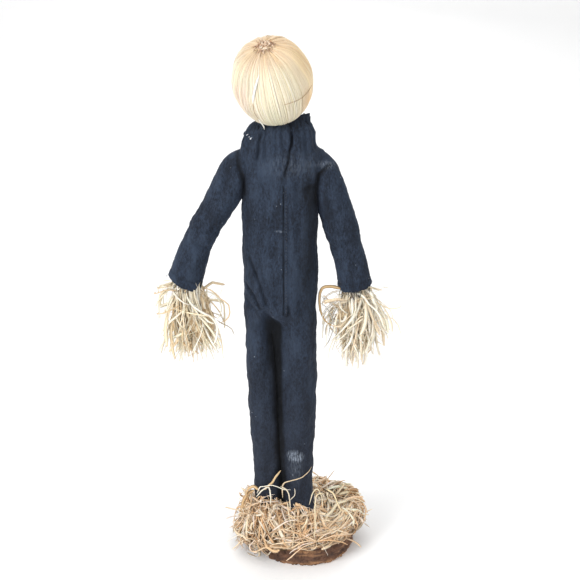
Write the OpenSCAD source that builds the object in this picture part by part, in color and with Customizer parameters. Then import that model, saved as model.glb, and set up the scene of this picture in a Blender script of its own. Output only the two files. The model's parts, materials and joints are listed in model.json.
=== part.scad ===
// Standing scarecrow figure on a slice of log.
// The floor is z = 0 and the figure's own centre line is the Z axis.
// Its back faces -Y, its face looks towards +Y and its left arm is on the -X side.

/* [Base] */
// Radius of the log slice over its bark
base_r = 55; // [52:1:58]
// Thickness of the log slice
base_h = 22; // [18:1:24]
// Thickness of the bark
bark_t = 3.5; // [2:0.5:5]
// How far the slice's centre lies to the figure's right
base_x = 25; // [20:1:28]
// How far the slice's centre lies in front of the figure
base_y = 24; // [20:1:28]
// Spread of the straw heap, as a radius
nest_r = 72; // [68:1:76]
// Height of the top of the straw heap above the floor
nest_top = 53; // [48:1:54]

/* [Frame] */
// Diameter of the leg and spine dowels
dowel_d = 6; // [5:0.5:7]
// Diameter of the pins that the arms turn on
pin_d = 3; // [2.4:0.1:3.2]
// Height of the underside of the hip block
hip_z = 283; // [282:1:286]
// Height of the shoulder wire
shoulder_z = 428; // [426:1:430]
// Distance of each shoulder pivot from the centre line
shoulder_x = 45; // [44:1:47]

/* [Coverall] */
// Thickness of the cloth with its turned edges
cloth_t = 1.2; // [0.8:0.1:1.5]
// Height of the trouser cuffs above the floor
cuff_z = 56; // [55:1:62]
// Width of the torso at the chest
chest_w = 76; // [74:1:78]
// Depth of the torso at the chest
chest_d = 46; // [42:1:50]
// Width of the collar where it sits on the shoulders
collar_w = 74; // [72:1:76]

/* [Arms] */
// Length of the upper arm, from shoulder pivot to elbow pivot
upper_len = 62; // [58:1:66]
// Length of the forearm, from elbow pivot to wrist pivot
fore_len = 62; // [58:1:66]
// Left upper arm's angle from straight down
left_upper_angle = 27; // [24:1:32]
// Left forearm's angle from straight down
left_fore_angle = 19; // [16:1:24]
// Right upper arm's angle from straight down
right_upper_angle = 17; // [17:1:26]
// Right forearm's angle from straight down
right_fore_angle = 11.5; // [11.5:0.5:20]
// Width of the left raffia hand
left_hand_w = 60; // [50:1:62]
// Width of the right raffia hand
right_hand_w = 64; // [54:1:64]
// Length of the raffia hands below the wrist
hand_len = 84; // [76:1:88]

/* [Head] */
// Diameter of the foam ball
ball_d = 74.8; // [72:0.2:76]
// Thickness of the husk strands over the ball
husk_t = 1.2; // [0.8:0.1:1.5]
// Height of the neck pivot
neck_z = 481.5; // [481:0.5:484]
// How far the head leans back
head_back = 24.5; // [15:0.5:25]
// How far the head leans to the figure's left
head_lean = 12; // [0:1:14]

/* [Hidden] */

$fn = 64;
hull_fn = 32;           // facets of the rounded slices inside a hull
cord_fn = 24;           // facets round a thread or cord
slice_t = 0.6;          // thickness of one rounded slice
past = 1;               // how far a cut runs past the face it opens
gap = 0.4;              // room left between a filling and what it touches
play = 0.06;            // running clearance of a pin in its eye
clear = 0.1;            // space between two surfaces that lie against each other
bend_swell = 1.1;       // how much fuller a wire is at a bend
facet_turn = 40;        // turns a rod's facets away from the axes
cloth = "#262c38";
straw = "#d8bd8c";
cream = "#ece0bf";
pine = "#c9a878";
steel = "#8a8d90";
fibre = "#e8e6df";

left = -1;
right = 1;
dowel_r = dowel_d / 2;
pin_r = pin_d / 2;
wire_r = 0.4 * pin_d;
eye_reach = pin_r + 1;  // from the middle of an eye to the end of the wire that carries it

// ---- Places ----

base_centre = [base_x, base_y, 0];
left_dowel_at = [-16.5, 1.5];
right_dowel_at = [18.7, -2];
dowel_foot = 4;         // wood left under a leg dowel
hip_corner = [-26, -9, hip_z];
hip_size = [54, 18, 18];
hip_h = hip_size.z;
hip_socket = 14;        // depth of the leg sockets in the hip block
spine_foot = 3;         // wood left under the spine
neck_plug_r = 7;
neck_plug_foot = 452;
neck_tie_z = 470;
spine_top = 467;
ankle_strand_at = [19, -3.9, cuff_z + 15];
hand_wire_len = 40;     // how far a hand's wire runs down into the raffia
peg_ball_r = 3.8;
head_clear = 3.5;       // space between the neck pivot and the head's surface
head_r = ball_d / 2 + gap / 2 + husk_t;
neck_pivot = [0, 0, neck_z];

// A vector turned in the frontal plane, as an arm hanging down would be when raised sideways by angle
function swing(side, angle, p) =
    let (turn = -side * angle)
    [p.x * cos(turn) + p.z * sin(turn), p.y, p.z * cos(turn) - p.x * sin(turn)];

function upper_angle(side) = side == left ? left_upper_angle : right_upper_angle;
function fore_angle(side) = side == left ? left_fore_angle : right_fore_angle;
function shoulder(side) = [side * shoulder_x, 0, shoulder_z];
function elbow(side) = shoulder(side) + swing(side, upper_angle(side), [0, 0, -upper_len]);
function wrist(side) = elbow(side) + swing(side, fore_angle(side), [0, 0, -fore_len]);

// Slices are [width, depth, height, x, y], from the lowest to the highest
torso_slices = [
    [chest_w - 4, chest_d - 8, 277, 0, 0],
    [chest_w - 1, chest_d - 4, 300, 0, 0],
    [chest_w, chest_d, 400, 0, 0],
    [chest_w - 6, chest_d - 4, 438, 0, 0],
    [chest_w - 26, chest_d - 12, 456, 0, 0]
];
left_leg_slices = [[30, 28, cuff_z, -14, 3], [31, 31, 274, -19.5, 0]];
right_leg_slices = [[32, 28, cuff_z, 19, -4], [37, 34, 274, 18.5, 0]];
collar_slices = [
    [collar_w, 50, 447, 0, 0],
    [collar_w - 8, 44, 460, 0, 0],
    [collar_w - 24, 40, 474, 0, 0]
];
fore_slices = [[37, 26, -fore_len, 0, 0], [33, 26, 6, 0, 0]];

// ---- Shared shapes ----

module slice(s, shrink) {
    translate([s[3], s[4], s[2]])
        linear_extrude(slice_t)
            scale([s[0] - 2 * shrink, s[1] - 2 * shrink])
                circle(d = 1, $fn = hull_fn);
}

// Solid that runs smoothly through its slices; shrink pulls its sides in
module loft(slices, shrink = 0) {
    hull()
        for (s = slices)
            slice(s, shrink);
}

// The same slices with both ends moved out, so that a cut leaves the tube open
function open_ended(slices) = [
    for (i = [0 : len(slices) - 1])
        let (s = slices[i], step = i == 0 ? -past : i == len(slices) - 1 ? past : 0)
        [s[0], s[1], s[2] + step, s[3], s[4]]
];

module cloth_tube(slices) {
    difference() {
        loft(slices);
        loft(open_ended(slices), cloth_t);
    }
}

module rod(start, end, r) {
    along = end - start;
    translate(start)
        rotate([0, acos(along.z / norm(along)), atan2(along.y, along.x)])
            rotate([0, 0, facet_turn])
                cylinder(r = r, h = norm(along));
}

module bent_wire(points, r) {
    for (i = [1 : len(points) - 1])
        rod(points[i - 1], points[i], r);
    for (i = [1 : len(points) - 2])
        translate(points[i])
            rotate([37, 23, 0])
                sphere(r * bend_swell);
}

module ring(major_r, minor_r) {
    rotate_extrude()
        translate([major_r, 0])
            circle(minor_r, $fn = cord_fn);
}

// ---- Base and legs ----

module base_block() {
    color(pine)
        difference() {
            translate(base_centre)
                cylinder(r = base_r - bark_t, h = base_h);
            for (at = [left_dowel_at, right_dowel_at])
                translate([at.x, at.y, dowel_foot])
                    cylinder(r = dowel_r + play, h = base_h);
        }
}

module base_bark() {
    bevel = 2.5;
    lean = 0.6;         // how much narrower the bark is at its top
    inner_r = base_r - bark_t + clear;
    color("#5f4536")
        translate(base_centre)
            rotate_extrude()
                polygon([
                    [inner_r, 0], [base_r - bevel, 0], [base_r, bevel],
                    [base_r - lean, base_h - bevel], [base_r - bevel, base_h], [inner_r, base_h]
                ]);
}

// Domed heap on top of the log slice, with a skirt that hangs down outside the bark
module straw_nest() {
    skirt_z = 12;
    seat_z = base_h + clear;
    skirt_r = base_r + 0.8;
    skirt = [[0, seat_z], [skirt_r, seat_z], [skirt_r, skirt_z], [nest_r - 6, skirt_z - 3], [nest_r, skirt_z + 4]];
    // Each is [distance in from the rim, depth below the top]
    dome = [[4, 23], [20, 9], [42, 2]];
    color(straw)
        difference() {
            translate(base_centre)
                rotate_extrude()
                    polygon([
                        each skirt,
                        for (d = dome)
                            [nest_r - d[0], nest_top - d[1]],
                        [0, nest_top]
                    ]);
            for (at = [left_dowel_at, right_dowel_at])
                translate([at.x, at.y, 0])
                    cylinder(r = dowel_r + gap, h = nest_top + past);
        }
}

module leg_dowel(at) {
    color(pine)
        translate([at.x, at.y, dowel_foot])
            cylinder(r = dowel_r, h = hip_z + hip_socket - dowel_foot);
}

module left_leg_dowel() {
    leg_dowel(left_dowel_at);
}

module right_leg_dowel() {
    leg_dowel(right_dowel_at);
}

module leg_stuffing(slices, at) {
    color(fibre)
        difference() {
            loft(slices, cloth_t + gap);
            translate([at.x, at.y, 0])
                cylinder(r = dowel_r + gap, h = hip_z);
        }
}

module left_leg_stuffing() {
    leg_stuffing(left_leg_slices, left_dowel_at);
}

module right_leg_stuffing() {
    leg_stuffing(right_leg_slices, right_dowel_at);
}

module left_trouser_leg() {
    color(cloth)
        cloth_tube(left_leg_slices);
}

module right_trouser_leg() {
    color(cloth)
        cloth_tube(right_leg_slices);
}

// Strand tied round the right trouser leg
module ankle_strand() {
    loop_r = 18.2;
    strand_r = 0.7;
    color(cream)
        translate(ankle_strand_at)
            rotate([8, -14, 0])
                ring(loop_r, strand_r);
}

// ---- Frame inside the body ----

module hip_block() {
    color(pine)
        difference() {
            translate(hip_corner)
                cube(hip_size);
            for (at = [left_dowel_at, right_dowel_at])
                translate([at.x, at.y, hip_z - past])
                    cylinder(r = dowel_r + play, h = hip_socket + past);
            translate([0, 0, hip_z + spine_foot])
                cylinder(r = dowel_r + play, h = hip_h);
        }
}

module spine_dowel() {
    color(pine)
        difference() {
            translate([0, 0, hip_z + spine_foot])
                cylinder(r = dowel_r, h = spine_top - hip_z - spine_foot);
            translate([0, 0, shoulder_z])
                rotate([0, 90, 0])
                    cylinder(r = wire_r + play, h = 4 * dowel_d, center = true);
        }
}

module shoulder_wire() {
    color(steel) {
        translate([0, 0, shoulder_z])
            rotate([0, 90, 0])
                cylinder(r = wire_r, h = 2 * (shoulder_x - eye_reach), center = true);
        for (side = [left, right])
            translate(shoulder(side))
                rotate([90, 0, 0])
                    wire_eye();
    }
}

// Loop at the end of a wire, with its bore along Z
module wire_eye() {
    eye_t = pin_d + 0.6;
    eye_wall = 2.5;
    difference() {
        cylinder(r = pin_r + eye_wall, h = eye_t, center = true);
        cylinder(r = pin_r + play, h = eye_t + past, center = true);
    }
}

module neck_plug() {
    plug_top = neck_z - 2;
    color(pine)
        difference() {
            translate([0, 0, neck_plug_foot])
                cylinder(r = neck_plug_r, h = plug_top - neck_plug_foot);
            translate([0, 0, neck_plug_foot - past])
                cylinder(r = dowel_r + play, h = spine_top - neck_plug_foot + past + gap);
            translate(neck_pivot)
                sphere(peg_ball_r + gap);
        }
}

module neck_tie() {
    tie_r = 0.7;
    color("#1c2028")
        translate([0, 0, neck_tie_z])
            ring(neck_plug_r + tie_r + clear, tie_r);
}

// Space that a side's sleeve sweeps through beside the torso
module arm_sweep(side) {
    lowest_angle = 14;
    clear_r = 16.8;
    reach = 90;
    translate(shoulder(side)) {
        rotate([90, 0, 0])
            cylinder(r = clear_r, h = reach, center = true);
        rotate([0, -side * lowest_angle, 0])
            translate([side > 0 ? -clear_r : clear_r - reach, -reach / 2, -reach])
                cube([reach, reach, reach]);
    }
}

module torso_stuffing() {
    room = [gap, gap, 0];
    open_z = 270;       // below the torso, so that the hip block's room is open underneath
    color(fibre)
        difference() {
            loft(torso_slices, cloth_t + gap);
            arm_sweep(left);
            arm_sweep(right);
            translate([hip_corner.x - gap, hip_corner.y - gap, open_z])
                cube([hip_size.x, hip_size.y, hip_z + hip_h + gap - open_z] + 2 * room);
            translate([0, 0, hip_z])
                cylinder(r = dowel_r + gap, h = spine_top);
            translate([0, 0, neck_plug_foot - gap])
                cylinder(r = neck_plug_r + gap, h = neck_z - neck_plug_foot);
            translate([0, 0, shoulder_z])
                rotate([0, 90, 0])
                    cylinder(r = wire_r + gap, h = 3 * shoulder_x, center = true);
        }
}

module coverall_body() {
    color(cloth)
        difference() {
            cloth_tube(torso_slices);
            arm_sweep(left);
            arm_sweep(right);
        }
}

// Gathered collar, with a web across it that closes the body's top round the neck
module collar() {
    web_z = 461;
    web_size = [collar_w - 10, 42];
    color(cloth) {
        cloth_tube(collar_slices);
        translate([0, 0, web_z])
            difference() {
                linear_extrude(cloth_t)
                    scale(web_size)
                        circle(d = 1);
                translate([0, 0, -past])
                    cylinder(r = neck_plug_r + gap, h = cloth_t + 2 * past);
            }
    }
}

module back_seam() {
    seam_r = 0.5;
    seam_x = 2;
    seam_top = 440;
    lift = seam_r + 0.15;
    color("#151922")
        bent_wire([
            for (s = torso_slices)
                if (s[2] < seam_top)
                    [seam_x, -s[1] / 2 - lift, s[2]]
        ], seam_r);
}

// ---- Arms ----

wire_offset = pin_d + 1.5;  // from the middle of a pin to the wire that hangs from it
wire_drop = 8;              // how far that wire hangs straight down before it bends inwards
wire_joined = 17;           // how far below the pin it has reached the middle of the limb
filling_start = 20;         // how far below the pin a limb's filling begins
slab = 60;                  // wider than any limb

// Puts children, drawn hanging down from the origin, along a side's upper arm
module along_upper(side) {
    translate(shoulder(side))
        rotate([0, -side * upper_angle(side), 0])
            children();
}

module along_fore(side) {
    translate(elbow(side))
        rotate([0, -side * fore_angle(side), 0])
            children();
}

// Cuts a sleeve off at the elbow: square behind, and slanted in front so that the elbow can bend.
// part is 1 for the sleeve above the elbow and -1 for the one below.
module elbow_cut(side, part) {
    bend = 77;
    slit = 0.8;
    reach = 30;
    translate(elbow(side))
        rotate([0, -side * upper_angle(side), 0])
            rotate([90, 0, 90])
                linear_extrude(2 * reach, center = true)
                    polygon([
                        [-reach, part * slit], [0, part * slit], [reach, part * reach * tan(bend / 2)],
                        [reach, -part * reach], [-reach, -part * reach]
                    ]);
}

// Solid body of the upper sleeve, drawn hanging down; shrink pulls its sides in
module upper_form(shrink) {
    cap_r = 15.5;
    cap_w = 25;
    below_elbow = 6;
    hull() {
        rotate([90, 0, 0])
            cylinder(r = cap_r - shrink, h = cap_w - 2 * shrink, center = true, $fn = hull_fn);
        slice([33, 26, -upper_len - below_elbow, 0, 0], shrink);
    }
}

// What lies between two distances down a limb that hangs from the origin
module limb_band(start, finish) {
    translate([-slab / 2, -slab / 2, -finish])
        cube([slab, slab, finish - start]);
}

module arm_wire(side) {
    color(steel)
        along_upper(side) {
            rod([0, -wire_offset, 0], [0, wire_offset + pin_r, 0], pin_r);
            bent_wire([
                [0, wire_offset, 0], [0, wire_offset, -wire_drop],
                [0, 0, -wire_joined], [0, 0, eye_reach - upper_len]
            ], wire_r);
            translate([0, 0, -upper_len])
                rotate([0, 90, 0])
                    wire_eye();
        }
}

module upper_stuffing(side) {
    above_elbow = 8;
    color(fibre)
        difference() {
            along_upper(side)
                intersection() {
                    upper_form(cloth_t + gap);
                    limb_band(filling_start, upper_len - above_elbow);
                }
            along_upper(side)
                translate([0, 0, -upper_len])
                    cylinder(r = wire_r + gap, h = upper_len);
            elbow_cut(side, 1);
        }
}

// The sleeve is open towards the body, so that the shoulder wire can reach the pivot
module upper_sleeve(side) {
    slot_w = 10;
    slot_reach = 30;
    slot_from = 78;
    slot_to = 196;
    color(cloth)
        difference() {
            along_upper(side)
                difference() {
                    upper_form(0);
                    upper_form(cloth_t);
                    rotate([90, 0, 0])
                        linear_extrude(slot_w, center = true)
                            polygon([
                                [0, 0],
                                for (a = [slot_from : (slot_to - slot_from) / 2 : slot_to])
                                    slot_reach * [-side * sin(a), -cos(a)]
                            ]);
                }
            elbow_cut(side, 1);
        }
}

// Pin across the end of the limb above, whose angle is angle
module limb_pin(side, at, angle) {
    rod(
        at + swing(side, angle, [-wire_offset, 0, 0]),
        at + swing(side, angle, [wire_offset + pin_r, 0, 0]),
        pin_r
    );
}

module forearm_wire(side) {
    at = elbow(side);
    in_fore = function (p) at + swing(side, fore_angle(side), p);
    color(steel) {
        limb_pin(side, at, upper_angle(side));
        bent_wire([
            at + swing(side, upper_angle(side), [wire_offset, 0, 0]), in_fore([wire_offset, 0, -wire_drop]),
            in_fore([0, 0, -wire_joined]), in_fore([0, 0, eye_reach - fore_len])
        ], wire_r);
        translate(wrist(side))
            rotate([0, 90 - side * fore_angle(side), 0])
                wire_eye();
    }
}

module fore_stuffing(side) {
    above_wrist = 9;
    color(fibre)
        difference() {
            along_fore(side)
                intersection() {
                    loft(fore_slices, cloth_t + gap);
                    limb_band(filling_start, fore_len - above_wrist);
                }
            along_fore(side)
                translate([0, 0, -fore_len])
                    cylinder(r = wire_r + gap, h = fore_len);
        }
}

module lower_sleeve(side) {
    color(cloth)
        difference() {
            along_fore(side)
                cloth_tube(fore_slices);
            elbow_cut(side, -1);
        }
}

module hand_wire(side) {
    at = wrist(side);
    drop = 7;
    joined = 13;
    color(steel) {
        limb_pin(side, at, fore_angle(side));
        bent_wire([
            at + swing(side, fore_angle(side), [wire_offset, 0, 0]), at + [wire_offset, 0, -drop],
            at + [0, 0, -joined], at + [0, 0, -hand_wire_len]
        ], wire_r);
    }
}

// Thread wound round the raffia just under the wrist
module wrist_tie(side) {
    below_wrist = 17;
    loop_r = 6;
    tie_r = 0.8;
    color("#1c2028")
        translate(wrist(side) - [0, 0, below_wrist])
            ring(loop_r, tie_r);
}

// Bunch of raffia, fullest two thirds of the way down, with the tied neck it hangs from
module raffia_hand(side) {
    w = side == left ? left_hand_w : right_hand_w;
    outward = side == right ? 2.5 : 0;
    bunch_top = 20;
    tied_r = 5;
    tied_h = 8;
    tied_inside = 2;    // how much of the tied neck lies inside the bunch
    color(cream)
        translate(wrist(side))
            difference() {
                union() {
                    loft([
                        [w - 14, 34, -hand_len, side * outward, 0],
                        [w, 46, -hand_len * 0.66, side * outward, 0],
                        [w - 10, 40, -hand_len * 0.38, side * outward, 0],
                        [34, 26, -bunch_top, 0, 0]
                    ]);
                    translate([0, 0, -bunch_top - tied_inside])
                        cylinder(r = tied_r, h = tied_h);
                }
                translate([0, 0, -hand_wire_len - gap])
                    cylinder(r = wire_r + gap, h = hand_wire_len);
            }
}

module left_arm_wire() {
    arm_wire(left);
}

module left_upper_stuffing() {
    upper_stuffing(left);
}

module left_upper_sleeve() {
    upper_sleeve(left);
}

module left_forearm_wire() {
    forearm_wire(left);
}

module left_fore_stuffing() {
    fore_stuffing(left);
}

module left_lower_sleeve() {
    lower_sleeve(left);
}

module left_hand_wire() {
    hand_wire(left);
}

module left_wrist_tie() {
    wrist_tie(left);
}

module left_raffia_hand() {
    raffia_hand(left);
}

module right_arm_wire() {
    arm_wire(right);
}

module right_upper_stuffing() {
    upper_stuffing(right);
}

module right_upper_sleeve() {
    upper_sleeve(right);
}

module right_forearm_wire() {
    forearm_wire(right);
}

module right_fore_stuffing() {
    fore_stuffing(right);
}

module right_lower_sleeve() {
    lower_sleeve(right);
}

module right_hand_wire() {
    hand_wire(right);
}

module right_wrist_tie() {
    wrist_tie(right);
}

module right_raffia_hand() {
    raffia_hand(right);
}

// ---- Head ----

// Puts children, drawn with the neck pivot at the origin and the crown up, on the leaning neck
module on_neck() {
    translate(neck_pivot)
        rotate([head_back, -head_lean, 0])
            children();
}

head_lift = head_clear + head_r;
peg_h = 28;
on_husk = 0.3;          // how far above the husk the small parts of the head sit

// The same, with the centre of the ball at the origin
module on_head() {
    on_neck()
        translate([0, 0, head_lift])
            children();
}

// Puts children on the head's surface, +Z outwards, az degrees round from the face and el degrees up
module on_face(az, el) {
    rotate([el - 90, 0, -az])
        translate([0, 0, head_r + on_husk])
            children();
}

// Point on the head at a height above its surface, by the same two angles
function face_point(az, el, height) =
    (head_r + height) * [sin(az) * cos(el), cos(az) * cos(el), sin(el)];

module neck_peg() {
    color(pine)
        on_neck() {
            sphere(peg_ball_r);
            cylinder(r = dowel_r, h = peg_h);
        }
}

module head_ball() {
    color(fibre)
        on_head()
            difference() {
                sphere(d = ball_d);
                translate([0, 0, -head_lift])
                    cylinder(r = dowel_r + play, h = peg_h + past);
            }
}

module head_husk() {
    opening_r = dowel_r + 2;
    opening_h = 10;
    color(cream)
        on_head()
            difference() {
                sphere(head_r);
                sphere(head_r - husk_t);
                translate([0, 0, -head_lift])
                    cylinder(r = opening_r, h = opening_h);
            }
}

module crown_knot() {
    knot_r = 4;
    color("#c9a491")
        on_head()
            translate([0, 0, head_r + on_husk])
                difference() {
                    scale([1, 1, 0.7])
                        sphere(knot_r);
                    translate([-knot_r, -knot_r, -2 * knot_r])
                        cube(2 * knot_r);
                }
}

// Strand along a meridian of the head, from one angle below the crown to another
module meridian_strand(az, from_crown, to_crown, r) {
    rotate([0, 0, az])
        rotate([90, from_crown - 90, 0])
            rotate_extrude(angle = from_crown - to_crown)
                translate([head_r + r + 0.2, 0])
                    circle(r, $fn = cord_fn);
}

module loose_strand() {
    strand_r = 0.8;
    color("#f4f0e4")
        on_head()
            meridian_strand(-120, 14, 112, strand_r);
}

// Thread that curls up across the lower right of the back of the head
module head_thread() {
    thread_r = 0.4;
    turns = 6;
    color("#8a6248")
        on_head()
            bent_wire([
                for (i = [0 : turns])
                    face_point(162 - 9 * i, -26 + 12 * pow(i / turns, 2), thread_r + on_husk)
            ], thread_r);
}

module eye_buttons() {
    button_r = 4;
    button_t = 2;
    hole_r = 0.5;
    hole_from_middle = 1.2;
    eye_az = 20;
    eye_el = 12;
    color("#1b1b1d")
        on_head()
            for (side = [left, right])
                on_face(side * eye_az, eye_el)
                    difference() {
                        cylinder(r = button_r, h = button_t);
                        for (hole = [left, right])
                            translate([hole * hole_from_middle, 0, -past])
                                cylinder(r = hole_r, h = button_t + 2 * past);
                    }
}

// Three-cornered patch of felt
module nose_patch() {
    patch_r = 5;
    patch_t = 1.4;
    color("#b4562c")
        on_head()
            on_face(0, -2)
                rotate([0, 0, 90])
                    cylinder(r = patch_r, h = patch_t, $fn = 3);
}

module mouth_stitch() {
    thread_r = 0.6;
    height = thread_r + on_husk;
    over = height + 0.5;
    half_width = 24;
    step = 8;
    half_stitch = 4;
    smile = function (az) -28 + 9 * pow(az / half_width, 2);
    color("#2a211c")
        on_head() {
            bent_wire([
                for (az = [-half_width : step : half_width])
                    face_point(az, smile(az), height)
            ], thread_r);
            for (az = [step - half_width : step : half_width - step])
                rod(
                    face_point(az, smile(az) - half_stitch, over),
                    face_point(az, smile(az) + half_stitch, over),
                    thread_r
                );
        }
}

base_block();
base_bark();
straw_nest();
left_leg_dowel();
right_leg_dowel();
hip_block();
spine_dowel();
shoulder_wire();
neck_plug();
neck_tie();
torso_stuffing();
left_leg_stuffing();
right_leg_stuffing();
coverall_body();
left_trouser_leg();
right_trouser_leg();
collar();
back_seam();
ankle_strand();
left_arm_wire();
left_upper_stuffing();
left_upper_sleeve();
left_forearm_wire();
left_fore_stuffing();
left_lower_sleeve();
left_hand_wire();
left_wrist_tie();
left_raffia_hand();
right_arm_wire();
right_upper_stuffing();
right_upper_sleeve();
right_forearm_wire();
right_fore_stuffing();
right_lower_sleeve();
right_hand_wire();
right_wrist_tie();
right_raffia_hand();
neck_peg();
head_ball();
head_husk();
crown_knot();
loose_strand();
head_thread();
eye_buttons();
nose_patch();
mouth_stitch();
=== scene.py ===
"""Looks for the standing scarecrow figure: cloth coverall, husk head, raffia hands, straw heap and log slice.

Lengths are in metres in the CAD frame and tables of shapes in millimetres: +Z is up, the figure's back is
towards -Y and its left arm is on the -X side. The photograph is taken from -Y.
"""

import json
import math

import bpy
import numpy as np
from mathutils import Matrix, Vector


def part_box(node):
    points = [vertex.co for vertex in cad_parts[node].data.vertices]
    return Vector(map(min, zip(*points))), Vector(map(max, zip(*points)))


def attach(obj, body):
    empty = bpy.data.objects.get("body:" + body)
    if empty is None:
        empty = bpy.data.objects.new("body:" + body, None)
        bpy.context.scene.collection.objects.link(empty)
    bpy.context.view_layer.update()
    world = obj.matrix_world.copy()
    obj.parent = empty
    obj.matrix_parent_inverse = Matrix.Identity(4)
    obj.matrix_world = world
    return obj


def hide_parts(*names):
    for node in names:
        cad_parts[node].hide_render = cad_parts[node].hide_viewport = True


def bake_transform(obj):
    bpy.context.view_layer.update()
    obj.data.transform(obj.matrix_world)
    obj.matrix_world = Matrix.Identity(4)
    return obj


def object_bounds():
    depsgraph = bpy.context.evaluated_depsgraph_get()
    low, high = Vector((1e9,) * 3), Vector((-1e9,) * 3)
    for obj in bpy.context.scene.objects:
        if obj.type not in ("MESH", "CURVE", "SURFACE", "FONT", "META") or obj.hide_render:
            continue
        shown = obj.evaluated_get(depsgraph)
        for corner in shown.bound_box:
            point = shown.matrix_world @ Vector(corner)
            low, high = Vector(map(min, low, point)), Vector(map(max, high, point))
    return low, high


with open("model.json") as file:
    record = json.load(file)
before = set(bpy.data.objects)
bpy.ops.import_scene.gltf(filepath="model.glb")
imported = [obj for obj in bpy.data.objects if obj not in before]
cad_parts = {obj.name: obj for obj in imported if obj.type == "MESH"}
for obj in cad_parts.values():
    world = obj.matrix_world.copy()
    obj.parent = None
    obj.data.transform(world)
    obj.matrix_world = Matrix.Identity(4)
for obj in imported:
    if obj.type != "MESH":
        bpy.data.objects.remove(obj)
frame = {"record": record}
cad_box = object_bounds()

MM = 0.001
JOINTS = {j["name"]: j for j in frame["record"]["behaviour"]["joints"]}
LEFT, RIGHT = -1, 1
SIDE_NAME = {LEFT: "left", RIGHT: "right"}
UP = np.array([0.0, 0.0, 1.0])
RIGHTWARD = np.array([1.0, 0.0, 0.0])
FORWARD = np.array([0.0, 1.0, 0.0])
BACKWARD = np.array([0.0, -1.0, 0.0])


# ---------------------------------------------------------------- small maths

def vec(*xyz):
    """A point given in millimetres."""
    return np.array(xyz, float) * MM


def unit(v):
    """Vectors of length 1, with the last axis as x, y, z."""
    v = np.asarray(v, float)
    length = np.linalg.norm(v, axis=-1, keepdims=True)
    return v / np.maximum(length, 1e-12)


def smoothstep(low, high, x):
    """A soft step from 0 at low to 1 at high; low may be the larger."""
    t = np.clip((np.asarray(x, float) - low) / (high - low), 0, 1)
    return t * t * (3 - 2 * t)


def falloff(x):
    """1 at 0, fading away to both sides."""
    return np.exp(-x ** 2)


def turned_from(angle, centre):
    """How far an angle in radians lies from a direction in degrees: radians between -pi and pi."""
    return np.angle(np.exp(1j * (angle - math.radians(centre))))


def lobe(angle, centre, width):
    """1 in one direction, fading away to both sides; the direction and the width are in degrees."""
    return falloff(turned_from(angle, centre) / math.radians(width))


def circle_angles(count):
    return np.linspace(0, 2 * math.pi, count, endpoint=False)


def box_corners(node):
    return [np.array(corner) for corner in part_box(node)]


def pivot(joint):
    return np.array(JOINTS[joint]["pos_m"], float)


def node_centre(node):
    low, high = box_corners(node)
    return (low + high) / 2


def linear(r, g, b):
    """An 8-bit screen colour as a linear one."""
    c = np.array([r, g, b], float) / 255
    return np.where(c <= 0.04045, c / 12.92, ((c + 0.055) / 1.055) ** 2.4)


def linear_rows(*colours):
    return [linear(*c) for c in colours]


def waves(points, seed, size, count=7, stretch=(1, 1, 1)):
    """Smooth noise, mostly between -1 and 1: a sum of plane waves about size long."""
    rng = np.random.RandomState(seed)
    scaled = points / (size * np.array(stretch))
    total = np.zeros(len(points))
    for _ in range(count):
        direction = unit(rng.normal(size=3)) * rng.uniform(0.6, 1.6) * 2 * math.pi
        total += np.sin(scaled @ direction + rng.uniform(0, 2 * math.pi))
    return total / math.sqrt(count)


# ---------------------------------------------------------------- meshes

def shade_smooth(mesh):
    mesh.polygons.foreach_set("use_smooth", [True] * len(mesh.polygons))


def new_object(name, verts, faces, material):
    mesh = bpy.data.meshes.new(name)
    mesh.from_pydata(np.asarray(verts, float).tolist(), [], [list(map(int, f)) for f in faces])
    shade_smooth(mesh)
    mesh.update()
    obj = bpy.data.objects.new(name, mesh)
    bpy.context.scene.collection.objects.link(obj)
    if material:
        mesh.materials.append(material)
    return obj


def coords(mesh):
    values = np.empty(len(mesh.vertices) * 3)
    mesh.vertices.foreach_get("co", values)
    return values.reshape(-1, 3)


def normals(mesh):
    values = np.empty(len(mesh.vertices) * 3)
    mesh.vertices.foreach_get("normal", values)
    return values.reshape(-1, 3)


def set_coords(mesh, points):
    mesh.vertices.foreach_set("co", points.reshape(-1))
    mesh.update()


def set_tint(mesh, colours):
    """Per-vertex colours that the material reads as its attribute named tint: the parts' own colours and, on
    the cloth and some strands, painted shade.
    """
    attribute = mesh.color_attributes.new("tint", "FLOAT_COLOR", "POINT")
    rgba = np.ones((len(colours), 4))
    rgba[:, :3] = colours
    attribute.data.foreach_set("color", rgba.reshape(-1))


# painted shade: a grey per-vertex tint that darkens the material in folds, seams and gaps
def set_shade(mesh, shade):
    set_tint(mesh, np.repeat(shade[:, None], 3, 1))


def set_uv(mesh, uv):
    layer = mesh.uv_layers.new(name="UVMap")
    corner = np.empty(len(mesh.loops), int)
    mesh.loops.foreach_get("vertex_index", corner)
    layer.data.foreach_set("uv", uv[corner].reshape(-1))


def bake(obj, *modifiers):
    """Adds modifiers, given as (type, settings), and keeps the mesh they make."""
    for kind, settings in modifiers:
        modifier = obj.modifiers.new(kind, kind)
        for key, value in settings.items():
            setattr(modifier, key, value)
    bpy.context.view_layer.update()
    depsgraph = bpy.context.evaluated_depsgraph_get()
    mesh = bpy.data.meshes.new_from_object(obj.evaluated_get(depsgraph))
    obj.modifiers.clear()
    obj.data = mesh
    shade_smooth(mesh)


def dress(obj, body, finish, *nodes):
    """Lets a piece ride on a body, and hides the CAD nodes that it stands in for."""
    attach(obj, body)
    if nodes:
        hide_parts(*nodes)


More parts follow.
